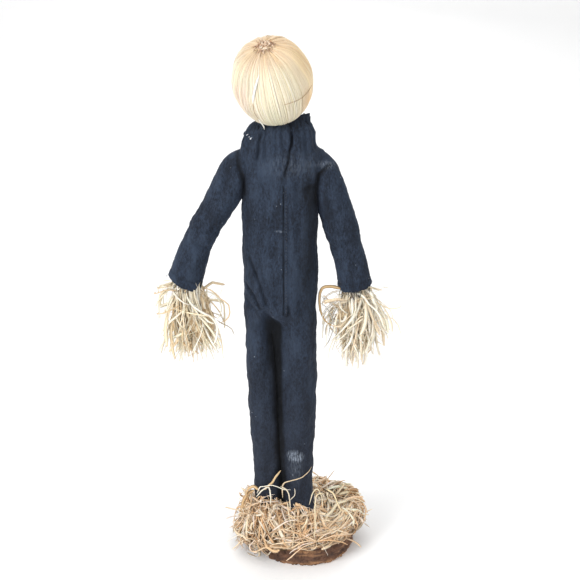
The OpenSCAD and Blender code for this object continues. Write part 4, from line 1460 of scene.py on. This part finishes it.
ACCENTS = {
    # the hands' longest loose strands: depth y, width, colour, (x, z) places
    LEFT: (
        (-12, 1.6, (226, 200, 160),
         ((-77, 313), (-70, 308), (-62, 301), (-54, 295), (-52.5, 288), (-54.5, 280), (-62, 275))),
        (-21, 3.2, (255, 250, 236),
         ((-95, 306), (-91, 298), (-84, 292), (-76, 287), (-70, 283), (-65.5, 274), (-66.5, 261), (-70, 254))),
        (-12, 1.2, (176, 160, 136), ((-66, 277), (-58, 272), (-52, 268), (-47, 260))),
        (-12, 0.7, (250, 242, 226), ((-106, 309), (-111, 311), (-117, 313), (-122, 317))),
        (-14, 2.2, (250, 236, 206), ((-104, 304), (-106, 290), (-104, 274), (-99, 258), (-92, 250))),
    ),
    RIGHT: (
        (-8, 3.4, (200, 168, 122),
         ((60, 310), (56, 312), (49, 313.5), (41, 312), (37.5, 303), (38.5, 289), (44, 276), (54, 269))),
        (-10, 2.0, (214, 206, 194), ((58, 308), (50, 306), (43, 300), (40, 290))),
        (-12, 1.4, (206, 202, 196), ((40, 304), (46, 298), (54, 292), (60, 284))),
        (-11, 1.2, (196, 192, 186), ((39, 296), (47, 290), (52, 280), (53, 268), (48, 254), (43, 246))),
        (-13, 1.2, (212, 206, 196), ((58, 300), (50, 296), (44, 288), (42, 280), (46, 272))),
        (-12, 1.3, (238, 220, 184),
         ((82, 306), (88, 301), (97, 295), (108, 289.5), (117, 289.5), (121, 292.5))),
        (-16, 1.2, (246, 232, 204), ((76, 268), (82, 271.5), (97, 278), (109, 281.5), (117, 275), (121, 263))),
        (-20, 3.4, (255, 250, 236), ((70, 304), (71, 290), (72, 272), (70, 258), (62, 246))),
        (-19, 2.4, (252, 244, 222), ((84, 296), (76, 280), (64, 266), (54, 258))),
    ),
}
HAND_LOOK = {
    # how much shorter the outer strands are, how early they spread, sideways lean, share of white
    LEFT: (22, 1.0, 0.17, 0.06),
    RIGHT: (44, 1.5, -0.04, 0.22),
}
HAND_STRANDS = 320
CUFF_CLEAR = 15 * MM  # further out from the wrist than this, a strand stays below it


def uneven_line(rng, keys, samples, amount):
    """A smooth line through (x, y, z) places in millimetres, jittered a little along its length."""
    keys = np.array(keys, float)
    path = spline(np.column_stack([np.arange(len(keys)), keys]), samples)[:, 1:] * MM
    return path + np.cumsum(rng.normal(size=path.shape), axis=0) * amount * MM


def hand_accents(strands, rng, side):
    """Adds a hand's longest loose strands, which stand out from the rest of the tuft."""
    for depth, width, colour, places in ACCENTS[side]:
        path = uneven_line(rng, [(x, depth, z) for x, z in places], 26, 0.18)
        facing = carried(path, (0, -1, 0.2), 0.9)
        strands.add(path, width * MM, facing, linear(*colour), cup=0.2, thick=0.3 * MM, ends=0.3)


def held_in(path, low, high):
    """Draws a strand in softly where it nears a box's sides or foot; at the top it stays as it is."""
    middle, half = (low + high) / 2, (high - low) / 2 + 4 * MM
    free = 0.72  # share of the box in which nothing is moved
    over = (path - middle) / half
    excess = np.maximum(np.abs(over) - free, 0)
    squeezed = np.sign(over) * (np.minimum(np.abs(over), free) + (1 - free) * np.tanh(excess / (1 - free)))
    squeezed[:, 2] = np.maximum(over[:, 2], squeezed[:, 2])
    return middle + squeezed * half


def raffia_hand(arm):
    """A tuft of flat raffia strands tied inside the cuff: it flares, curls and tangles as it hangs."""
    rng = np.random.RandomState(100 + arm.side)
    low, high = box_corners(arm.name + "_raffia_hand")
    shortening, early, lean, white = HAND_LOOK[arm.side]
    wrist, lower = arm.wrist, arm.lower
    tied = wrist - lower * 16 * MM  # where the strands are bound, inside the cuff
    hang = unit(np.array([lean, -0.05, -1.0]))
    raffia_core(arm, hang)
    strands = Ribbons()
    for _ in range(HAND_STRANDS):
        turn = rng.uniform(0, 2 * math.pi)
        radial = math.cos(turn) * arm.out_lower + math.sin(turn) * FORWARD
        reach = math.sqrt(rng.uniform(0, 1))
        start = tied + radial * reach * 4.9 * MM
        kind = rng.uniform()
        if kind < 0.76:  # long and lightly curled
            length = 89 - shortening * reach ** 2 * rng.uniform(0.6, 1) - 8 * rng.uniform()
            flare, wobble, kink = early * reach * rng.uniform(0.2, 0.5), 22, 0.02
        elif kind < 0.93:  # shorter and tangled
            length, flare, wobble, kink = rng.uniform(44, 76), early * reach * rng.uniform(0.3, 0.6), 60, 0.08
        else:  # short, standing out
            length, flare, wobble, kink = rng.uniform(34, 56), reach * rng.uniform(0.7, 1.1), 40, 0.05
        heading = unit(0.55 * lower + 0.45 * hang + radial * flare)
        first = tied + lower * 17 * MM + radial * reach * 13.5 * MM
        pull = unit(hang - 0.95 * radial * reach)
        body = wandering_path(rng, first, heading, length * MM, 24, pull, 18 + 12 * rng.uniform(), wobble, kink)
        path = held_in(smoothed([start, *body]), low, high)
        beyond_cuff = np.linalg.norm((path - wrist)[:, :2], axis=1) - CUFF_CLEAR
        ceiling = wrist[2] + np.where(beyond_cuff > 0, -0.3 * beyond_cuff, 60 * MM)
        path[:, 2] = np.minimum(path[:, 2], ceiling)
        width = rng.choice([0.6, 1.3, 2.3, 3.6], p=[0.25, 0.3, 0.27, 0.18]) * MM * rng.uniform(0.85, 1.2)
        facing = carried(path, unit(radial + rng.normal(size=3) * 0.35), rng.normal() * 1.5)
        # painted shade: strands from nearer the middle of the tuft are darker
        in_depth = 1 - 0.1 * (1 - reach) * rng.uniform(0.4, 1)
        tone = raffia_tint(rng) * in_depth
        tone = tone + (1 - tone) * white
        # painted shade: darker where the strands come out of the cuff, lighter at the tips
        rows = np.tile(tone, (len(path), 1)) * np.linspace(0.9, 1.04, len(path))[:, None]
        strands.add(path, width, facing, np.clip(rows, 0, 1), cup=rng.uniform(-0.12, 0.22), thick=0.28 * MM,
                    ends=0.55)
    hand_accents(strands, rng, arm.side)
    obj = strands.build(arm.name + "_raffia_strands", MATERIALS["raffia"])
    dress(obj, arm.name + "_hand", "raffia", arm.name + "_raffia_hand")


# ---------------------------------------------------------------- straw nest

NEST_CENTRE = node_centre("straw_nest")
BASE_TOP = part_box("base_block")[1][2]
NEST_NEAR_LIMIT = cad_box[0][1] - 8 * MM  # where the heap's strands stop towards -Y
NEST_LEFT_LIMIT = -60 * MM  # where its left curls stop
OVERHANG_X = -5 * MM  # left of this, strands may sink past the top of the slice
LEFT_ANKLE = vec(-14, 3, 0)[:2]
RIGHT_ANKLE = vec(19, -4, 0)[:2]


def heap_outline(turn):
    """How far the heap reaches from its centre in a direction, in metres: least on the near side."""
    near, left, right = lobe(turn, -70, 62), lobe(turn, 190, 50), lobe(turn, 32, 38)
    uneven = 1.6 * np.sin(5 * turn + 1) + 1.2 * np.sin(9 * turn + 2)
    return (63 - 8.5 * near + 17 * left + 6.5 * right + uneven) * MM


def heap_height(x, y):
    """Top of the heap at a place, in metres: piled against the ankles, lower towards its outline."""
    x, y = np.asarray(x, float), np.asarray(y, float)
    turn = np.arctan2(y - NEST_CENTRE[1], x - NEST_CENTRE[0])
    away = np.hypot(x - NEST_CENTRE[0], y - NEST_CENTRE[1])
    edge = heap_outline(turn)
    to_left = np.hypot(x - LEFT_ANKLE[0], y - LEFT_ANKLE[1])
    to_right = np.hypot(x - RIGHT_ANKLE[0], y - RIGHT_ANKLE[1])
    from_legs = np.maximum(0, np.minimum(to_left, to_right) - 15 * MM)
    from_edge = np.maximum(0, edge - away)
    part = from_legs / np.maximum(from_legs + from_edge, 1e-6)
    near = smoothstep(6 * MM, -16 * MM, y)
    left = smoothstep(6 * MM, -12 * MM, x)
    peak = 47 + 15 * near + 9 * near * left
    behind = smoothstep(0, 60 * MM, y)
    rim = 24 + 10 * behind + 3 * smoothstep(40 * MM, 80 * MM, x) - 6 * smoothstep(-10 * MM, -40 * MM, x)
    rolling = 2.6 * np.sin(x * 95 + 1.0) * np.cos(y * 80 + 0.5) + 1.6 * np.sin(x * 190 + y * 150)
    height = rim + (peak - rim) * (1 - part) ** (1.15 - 0.35 * behind) + rolling * part * (1 - part) * 3
    return (height - 5 * smoothstep(0, 12 * MM, away - edge)) * MM


def heap_mat():
    """The matted straw under the loose strands: a lumpy closed mound."""
    rings, around = 40, 110
    over = 0.75  # share of the rings that lie over the top; the rest close it underneath
    angle = circle_angles(around)
    edge = heap_outline(angle) * 0.95
    rows = []
    for i in range(rings):
        t = i / (rings - 1)
        share = t / over if t < over else 1 - (t - over) / (1 - over)
        radius = edge * share + 1e-5
        x = NEST_CENTRE[0] + radius * np.cos(angle)
        y = NEST_CENTRE[1] + radius * np.sin(angle)
        if t < over:
            z = heap_height(x, y) - (4.5 + 8 * smoothstep(0.82, 1.0, share)) * MM
        else:
            z = np.full(around, BASE_TOP - 0.3 * MM) - 4 * MM * (radius > 60 * MM)
        rows.append(np.stack([x, y, z], 1))
    faces = turned_over(tube_faces(rings, around))
    obj = new_object("straw_mat", np.concatenate(rows), faces, MATERIALS["matted_straw"])
    points, facing = coords(obj.data), normals(obj.data)
    lumps = waves(points, 91, 9 * MM, 7) * 1.3 + waves(points, 92, 3.4 * MM, 7) * 0.7
    points += facing * (lumps * MM * (points[:, 2] > BASE_TOP + 0.5 * MM))[:, None]
    set_coords(obj.data, points)
    dress(obj, "figure", "straw")


def strand_over_heap(rng, start, angle, length, points, layer, curl, arch):
    """A strand that lies on the heap: it curves in plan and follows the heap up and down."""
    step = length / (points - 1)
    x, y = start
    bend = rng.normal() * curl
    path = []
    for i in range(points):
        t = i / (points - 1)
        ground = heap_height(x, y)
        path.append((x, y, ground + layer + arch * math.sin(math.pi * t)))
        bend += rng.normal() * curl * 0.35
        angle += bend * step
        x += math.cos(angle) * step
        y += math.sin(angle) * step
    return smoothed(path)


def add_straw(strands, rng, path, width, tone, free=0.0):
    """Adds a strand, with what would pass the heap's outline drawn in along it; free lets it stick out."""
    path = path.copy()
    offset = path[:, :2] - NEST_CENTRE[:2]
    away = np.linalg.norm(offset, axis=1)
    edge = heap_outline(np.arctan2(offset[:, 1], offset[:, 0])) * rng.uniform(0.93, 1.05)
    beyond = np.maximum(away - edge, 0)
    wanted = np.minimum(away, edge) + beyond * (0.12 + 0.88 * free)
    path[:, :2] = NEST_CENTRE[:2] + offset * (wanted / np.maximum(away, 1e-9))[:, None]
    over_slice = BASE_TOP + rng.uniform(0.3, 2) * MM
    rest_on = np.where((path[:, 0] > OVERHANG_X) & (free < 0.5), over_slice, 1.5 * MM)
    path[:, 2] = np.maximum(path[:, 2], rest_on)
    path[:, 1] = np.maximum(path[:, 1], NEST_NEAR_LIMIT)
    facing = carried(path, unit(UP + rng.normal(size=3) * 0.45), rng.normal() * 1.6)
    cup = rng.uniform(-0.12, 0.22)
    strands.add(path, width, facing, np.clip(tone, 0, 1), cup=cup, thick=0.3 * MM, ends=0.35)


STRAW_LAYERS = (
    # strands, height of the layer over the heap, brightness, which is lower in the lower layers as painted
    # shade
    (200, -4.0, 0.66), (260, -1.0, 0.84), (280, 1.5, 0.98), (110, 4.0, 1.03),
)


def straw_layers(strands, rng):
    """Strands that lie round the heap, from the lower layers, painted darker as shade, to the bright top ones.
    """
    for count, layer, bright in STRAW_LAYERS:
        for _ in range(count):
            turn = rng.uniform(0, 2 * math.pi)
            away = heap_outline(turn) * math.sqrt(rng.uniform(0.05, 1.0))
            x, y = NEST_CENTRE[0] + away * math.cos(turn), NEST_CENTRE[1] + away * math.sin(turn)
            heading = turn + math.pi / 2 * rng.choice([-1, 1]) + rng.normal() * 0.5
            length = rng.uniform(24, 74) * MM
            start = (x - math.cos(heading) * length / 2, y - math.sin(heading) * length / 2)
            lift = (layer + rng.uniform(-2, 3)) * MM
            curl = rng.choice([5, 14, 36])
            arch = rng.uniform(0, 7) * MM * (rng.uniform() < 0.3)
            path = strand_over_heap(rng, start, heading, length, 18, lift, curl, arch)
            # painted shade: the lower layers get a lower brightness
            tone = straw_tint(rng) * bright
            if x < -15 * MM:
                tone = tone * 0.9 + linear(206, 198, 186) * 0.1
            width = rng.choice([1.1, 1.9, 2.8, 3.8], p=[0.22, 0.36, 0.28, 0.14]) * MM
            add_straw(strands, rng, path, width, tone)


def broad_shavings(strands, rng):
    """Short broad pale pieces strewn over the top."""
    for _ in range(70):
        x, y = vec(rng.uniform(-40, 80), rng.uniform(-38, 50), 0)[:2]
        heading = rng.uniform(0, 2 * math.pi)
        length = rng.uniform(16, 34) * MM
        path = strand_over_heap(rng, (x, y), heading, length, 10, rng.uniform(3, 7) * MM, 24, 3 * MM)
        add_straw(strands, rng, path, rng.uniform(3.2, 5.4) * MM, straw_tint(rng) * 1.04)


def around_ankles(strands, rng):
    """Short straw lying every way against the trouser cuffs."""
    for ankle, leg_radius, low, high, count in ((LEFT_ANKLE, 16, 52, 74, 74), (RIGHT_ANKLE, 18, 48, 62, 60)):
        radius = leg_radius * MM
        for _ in range(count):
            turn = math.radians(rng.uniform(150, 350))
            out = np.array([math.cos(turn), math.sin(turn), 0])
            along = np.array([-math.sin(turn), math.cos(turn), 0])
            away = (leg_radius + rng.uniform(1, 9)) * MM
            level = rng.uniform(low, high) * MM - 0.8 * (away - radius)
            middle = np.array([*ankle, 0]) + out * away + UP * level
            heading = along * rng.normal() + out * rng.uniform(-0.1, 0.7) + UP * rng.normal() * 0.5
            length = rng.uniform(16, 40) * MM
            start = middle - unit(heading) * length * 0.4
            path = wandering_path(rng, start, heading, length, 12, -UP, 14, 70, 0.05)
            inside = radius - np.linalg.norm(path[:, :2] - ankle, axis=1)
            path[:, :2] += unit(path[:, :2] - ankle) * np.maximum(inside, 0)[:, None]
            path[:, 2] = np.maximum(path[:, 2], heap_height(path[:, 0], path[:, 1]) - 2 * MM)
            add_straw(strands, rng, smoothed(path), rng.choice([0.9, 1.6, 2.6]) * MM, straw_tint(rng))


def right_fan(strands, rng):
    """Long bundled strands that sweep from the back right round to the near side."""
    for _ in range(130):
        tail = vec(rng.uniform(58, 90), rng.uniform(10, 66), 0)
        turn = vec(rng.uniform(66, 84), rng.uniform(-26, 4), 0)
        nose = vec(rng.uniform(-4, 52), rng.uniform(-36, -20), 0)
        t = np.linspace(rng.uniform(0, 0.2), rng.uniform(0.75, 1), 18)[:, None]
        path = (1 - t) ** 2 * tail + 2 * t * (1 - t) * turn + t ** 2 * nose
        lift = rng.uniform(1.5, 7) * MM
        path[:, 2] = heap_height(path[:, 0], path[:, 1]) * 0.55 + 15 * MM + lift
        path[:, 2] = np.maximum(path[:, 2], heap_height(path[:, 0], path[:, 1]) + lift - 2 * MM)
        path += np.cumsum(rng.normal(size=path.shape), axis=0) * 0.28 * MM
        width = rng.choice([1.3, 2.1, 3.2]) * MM
        add_straw(strands, rng, smoothed(path, 2), width, straw_tint(rng) * 1.03, 0.25)


def ragged_rim(strands, rng):
    """Bright broad shavings that lie outwards over the rim, at the back, the right and the left."""
    for low, high, count in ((-28, 120, 120), (150, 215, 16)):
        for _ in range(count):
            turn = math.radians(rng.uniform(low, high))
            edge = heap_outline(turn)
            away = edge * rng.uniform(0.5, 0.86)
            start = (NEST_CENTRE[0] + away * math.cos(turn), NEST_CENTRE[1] + away * math.sin(turn))
            length = edge * rng.uniform(1.0, 1.1) - away
            heading = turn + rng.normal() * 0.45
            lift, arch = rng.uniform(2.5, 7) * MM, rng.uniform(0, 4) * MM
            path = strand_over_heap(rng, start, heading, length, 12, lift, 14, arch)
            add_straw(strands, rng, path, rng.choice([1.6, 2.6, 3.8]) * MM, straw_tint(rng) * 1.1, 0.7)


STAR = (
    # direction in degrees and length of each strand
    (216, 44), (204, 34), (308, 22), (14, 40), (36, 34), (62, 26), (150, 44), (172, 48), (188, 30), (-8, 34),
    (24, 46), (160, 30),
)


def star_crossing(strands, rng):
    """Strands that cross in a star on the near slope and reach down over the bark."""
    hub = vec(38, -34, 31)
    for direction, length in STAR:
        turn = math.radians(direction + rng.normal() * 4)
        t = np.linspace(0, 1, 14)
        x = hub[0] + math.cos(turn) * length * MM * t
        fall = -math.sin(turn) * length * MM * t
        y = hub[1] - np.maximum(fall, 0) * 0.22 + np.maximum(-fall, 0) * 0.9
        z = hub[2] - np.maximum(fall, 0) * 0.86 + 4 * MM * np.sin(math.pi * t)
        z = np.maximum(z, np.where(fall < 0, heap_height(x, y) + 3 * MM, z))
        path = np.stack([x, y, z], 1) + np.cumsum(rng.normal(size=(14, 3)), axis=0) * 0.25 * MM
        add_straw(strands, rng, path, rng.choice([1.5, 2.4]) * MM, straw_tint(rng) * 1.05, 0.8)


def left_curls(strands, rng):
    """Loosely curled strands that overhang the slice at the figure's left."""
    for _ in range(90):
        start = vec(rng.uniform(-44, -14), rng.uniform(-26, 30), 0)
        start[2] = heap_height(start[0], start[1]) + rng.uniform(-2, 5) * MM
        heading = np.array([rng.uniform(-1, 0.9), rng.uniform(-0.8, 0.8), rng.uniform(-0.2, 0.3)])
        path = wandering_path(rng, start, heading, rng.uniform(18, 42) * MM, 22, -UP, 8, 150, 0.06)
        path[:, 2] = np.maximum(path[:, 2], 3 * MM)
        path[:, 0] = np.maximum(path[:, 0], NEST_LEFT_LIMIT)
        tone = straw_tint(rng) * 0.86 + linear(196, 190, 180) * 0.1
        add_straw(strands, rng, smoothed(path), rng.choice([1.0, 1.8, 2.6]) * MM, tone, 0.3)


TUFTS = (
    # place, heading, length, strands
    ((-34, 40, 40), (-0.4, 0.4, 0.5), 20, 4), ((48, 62, 38), (0.3, 0.6, 0.5), 26, 5),
    ((68, 58, 34), (0.6, 0.3, 0.4), 22, 4), ((88, 30, 26), (1.0, 0.1, 0.15), 14, 5),
    ((80, -2, 20), (1.0, -0.2, -0.3), 12, 2), ((-44, -10, 22), (-0.8, -0.2, -0.3), 16, 4),
    ((52, 40, 46), (0.1, 0.4, 0.9), 16, 3), ((40, 28, 48), (-0.1, 0.2, 1.0), 18, 3),
    ((-40, 14, 36), (-0.8, 0.1, 0.2), 22, 5),
)


def outlying_tufts(strands, rng):
    """Single strands and small tufts that stand clear of the heap's outline."""
    buried = 14
    for place, direction, length, count in TUFTS:
        for _ in range(count):
            heading = np.array(direction) + rng.normal(size=3) * 0.25
            start = vec(*place) + rng.normal(size=3) * 3 * MM - unit(heading) * buried * MM
            path = wandering_path(rng, start, heading, (length + buried) * MM, 14, -UP, 5, 35, 0.02)
            add_straw(strands, rng, smoothed(path), rng.choice([0.9, 1.5, 2.2]) * MM, straw_tint(rng), 1.0)


def straw_nest():
    """All the loose strands of the heap, in one mesh."""
    rng = np.random.RandomState(7)
    strands = Ribbons()
    for part in (straw_layers, broad_shavings, around_ankles, right_fan, ragged_rim, star_crossing, left_curls,
                 outlying_tufts):
        part(strands, rng)
    dress(strands.build("straw_strands", MATERIALS["straw"]), "figure", "straw", "straw_nest")


ANKLE_STRANDS = (
    # (x, y, z) places, width, colour; the first is wound round the right ankle
    (((0.5, -19, 76), (0.2, -20, 88), (3, -21.6, 95), (10, -22.8, 98.6), (20, -22.6, 101.6), (28, -17.5, 105),
      (32.6, -10, 108)), 1.7, (226, 204, 170)),
    (((-20, -15.5, 84), (-15.1, -17.5, 89), (-8.6, -17.6, 96.5), (-1.6, -15.5, 106)), 2.5, (226, 196, 150)),
    (((-27, -16, 80), (-24, -17.5, 88), (-20, -18.8, 89.6), (-11.4, -19.6, 92), (-4, -19.6, 89.8),
      (2, -21, 87.6), (8.3, -23, 88.6)), 1.5, (250, 246, 232)),
    (((-28, -17, 76), (-21, -20.5, 86.5), (-14, -20.6, 90), (-12.4, -21, 82), (-12, -23, 70)),
     1.6, (250, 244, 226)),
    (((-2, -20, 91), (4.9, -23.4, 87.4), (7.2, -24.6, 78), (8.2, -26, 66)), 1.4, (246, 232, 206)),
    (((13, -23.4, 90), (14.4, -24, 84), (9, -25, 77)), 0.9, (236, 226, 206)),
    (((29, -23, 70), (33, -22, 84), (38.5, -22, 88), (43, -24, 78), (44, -26, 68)), 1.3, (240, 226, 196)),
    (((46, -18, 80), (40, -24, 84), (36.2, -28, 80), (35.6, -33, 58), (35.2, -36, 36)), 1.7, (244, 228, 192)),
    (((48, -14, 84), (54, -16, 80), (58, -20, 70), (62, -22, 62)), 2.2, (240, 220, 180)),
    (((-30, -10, 80), (-36, -8, 76), (-42, -8, 66), (-44, -10, 54)), 4.2, (206, 172, 126)),
    (((-24, -17, 84), (-32, -13, 86), (-38, -10, 80), (-40, -8, 70)), 3.6, (214, 182, 136)),
)


def ankle_strands():
    """The strand wound round the right ankle, and the loose ones across both feet."""
    rng = np.random.RandomState(17)
    strands = Ribbons()
    for places, width, colour in ANKLE_STRANDS:
        path = uneven_line(rng, places, 18, 0.15)
        facing = carried(path, (0, -1, 0.3), 0.5)
        strands.add(path, width * MM, facing, linear(*colour), cup=0.2, thick=0.35 * MM, ends=0.3)
    dress(strands.build("ankle_straw", MATERIALS["straw"]), "figure", "straw", "ankle_strand")


# ---------------------------------------------------------------- bark

BARK_AROUND, BARK_LEVELS = 260, 22


def bark_ring(low, high):
    """The plain ring of bark between the corners of its box, as rows of points; the last two are its inside."""
    block_low, block_high = box_corners("base_block")
    inner = (block_high[0] - block_low[0]) / 2 + 0.05 * MM
    outer = (high[0] - low[0]) / 2
    angle = circle_angles(BARK_AROUND)
    circle = np.stack([np.cos(angle), np.sin(angle)], 1)
    rows = []
    for i in range(BARK_LEVELS):
        t = i / (BARK_LEVELS - 1)
        foot = -0.8 * MM * (1 - smoothstep(0, 0.12, t)) - 1.2 * MM * smoothstep(0.8, 1.0, t)
        rows.append((outer + foot, low[2] + (high[2] - low[2]) * t))
    rows += [(inner, high[2]), (inner, low[2])]
    middle = (low + high)[:2] / 2
    return [np.column_stack([middle + circle * radius, np.full(BARK_AROUND, z)]) for radius, z in rows]


def bark_rim():
    """The slice's bark: a rough closed ring with plates, cracks and a rounded foot."""
    rows = bark_ring(*box_corners("base_bark"))
    faces = tube_faces(len(rows), BARK_AROUND, "joined")
    obj = new_object("bark_rim", np.concatenate(rows), faces, MATERIALS["bark"])
    points = coords(obj.data)
    outside = np.arange(len(points)) < BARK_LEVELS * BARK_AROUND
    radial = unit((points - node_centre("base_bark")) * (1, 1, 0))
    round_trip = np.column_stack([radial[:, 0], radial[:, 1], points[:, 2] / (30 * MM)])
    plates = waves(round_trip, 51, 0.16, 9, (1, 1, 1.7))
    cracks = np.abs(waves(round_trip, 52, 0.11, 9, (1, 1, 2.6)))
    grit = waves(points, 53, 1.9 * MM, 7)
    away = 0.9 * plates - 1.7 * falloff(cracks / 0.22) + 0.22 * grit
    points += radial * (away * MM * outside)[:, None]
    turn = np.arctan2(radial[:, 1], radial[:, 0])
    lobes = 1.6 * np.sin(2 * turn + 0.7) + 0.9 * np.sin(5 * turn)
    near = falloff((np.degrees(turn) + 78) / 48)
    points += radial * (((lobes - 0.8) * 0.6 + 3.4 * near) * MM * outside)[:, None]
    set_coords(obj.data, points)
    dress(obj, "figure", "bark", "base_bark")


# ---------------------------------------------------------------- studio

WORLD_STRENGTH = 0.56
AIM = (0.0, 0.0, 0.3)
LIGHTS = (
    # name, place, size, power in watts
    ("key", (-1.3, -1.1, 1.2), 0.9, 27),
    ("fill", (1.0, -1.6, 0.9), 1.4, 13),
    ("top", (0.1, 0.3, 2.0), 1.4, 9),
    ("far", (0.2, 1.5, 1.2), 1.4, 6.5),
)
CAMERA_PLACE = (0.0085, -1.0, 0.65)
CAMERA_TILT = math.radians(71)
FOCAL_LENGTH, SENSOR_WIDTH = 64.4, 36


def backdrop():
    """One pale sheet: a floor that curves up into a wall behind the figure."""
    bend_y, wall_y, wall_top, half_width, drop = 1.2, 2.0, 4.0, 4, 0.0002
    bend = wall_y - bend_y
    profile = [(-2.5, 0.0), (bend_y, 0.0)]
    for a in np.linspace(0.1, math.pi / 2, 14):
        profile.append((bend_y + bend * math.sin(a), bend - bend * math.cos(a)))
    profile.append((wall_y, wall_top))
    verts = [(x, y, z - drop) for y, z in profile for x in (-half_width, half_width)]
    faces = [(2 * i, 2 * i + 1, 2 * i + 3, 2 * i + 2) for i in range(len(profile) - 1)]
    g = Graph("backdrop_paper")
    colour = g.mix(g.noise(g.place(), 3, 2.0), linear(246, 246, 246), linear(251, 251, 251))
    new_object("backdrop", verts, faces, g.finish(colour, 0.9))


def area_light(name, place, size, power):
    light = bpy.data.lights.new(name, "AREA")
    light.shape = "SQUARE"
    light.size = size
    light.energy = power
    obj = bpy.data.objects.new(name, light)
    obj.location = place
    obj.rotation_euler = Vector(np.array(AIM) - place).to_track_quat("-Z", "Y").to_euler()
    bpy.context.scene.collection.objects.link(obj)


def lighting():
    """White light from all round, and four soft lamps."""
    world = bpy.data.worlds.new("soft_room")
    world.use_nodes = True
    background = world.node_tree.nodes["Background"]
    background.inputs["Color"].default_value = (1, 1, 1, 1)
    background.inputs["Strength"].default_value = WORLD_STRENGTH
    bpy.context.scene.world = world
    for light in LIGHTS:
        area_light(*light)
    bpy.context.scene.view_settings.view_transform = "Standard"


def camera():
    """Looks at the figure's back from a little above."""
    data = bpy.data.cameras.new("camera")
    data.lens = FOCAL_LENGTH
    data.sensor_width = SENSOR_WIDTH
    obj = bpy.data.objects.new("camera", data)
    obj.location = CAMERA_PLACE
    obj.rotation_euler = (CAMERA_TILT, 0, 0)
    bpy.context.scene.collection.objects.link(obj)
    bpy.context.scene.camera = obj


# ---------------------------------------------------------------- the figure

finish_nodes()
husk_skin()
husk_strands()
crown_knot()
loose_strand()
brown_thread()
seam_stitches(coverall_body())
lining_scrap(gathered_collar())
for arm in (Arm(LEFT), Arm(RIGHT)):
    cuff_threads(arm, sleeve(arm))
    raffia_hand(arm)
heap_mat()
straw_nest()
ankle_strands()
bark_rim()
backdrop()
lighting()
camera()
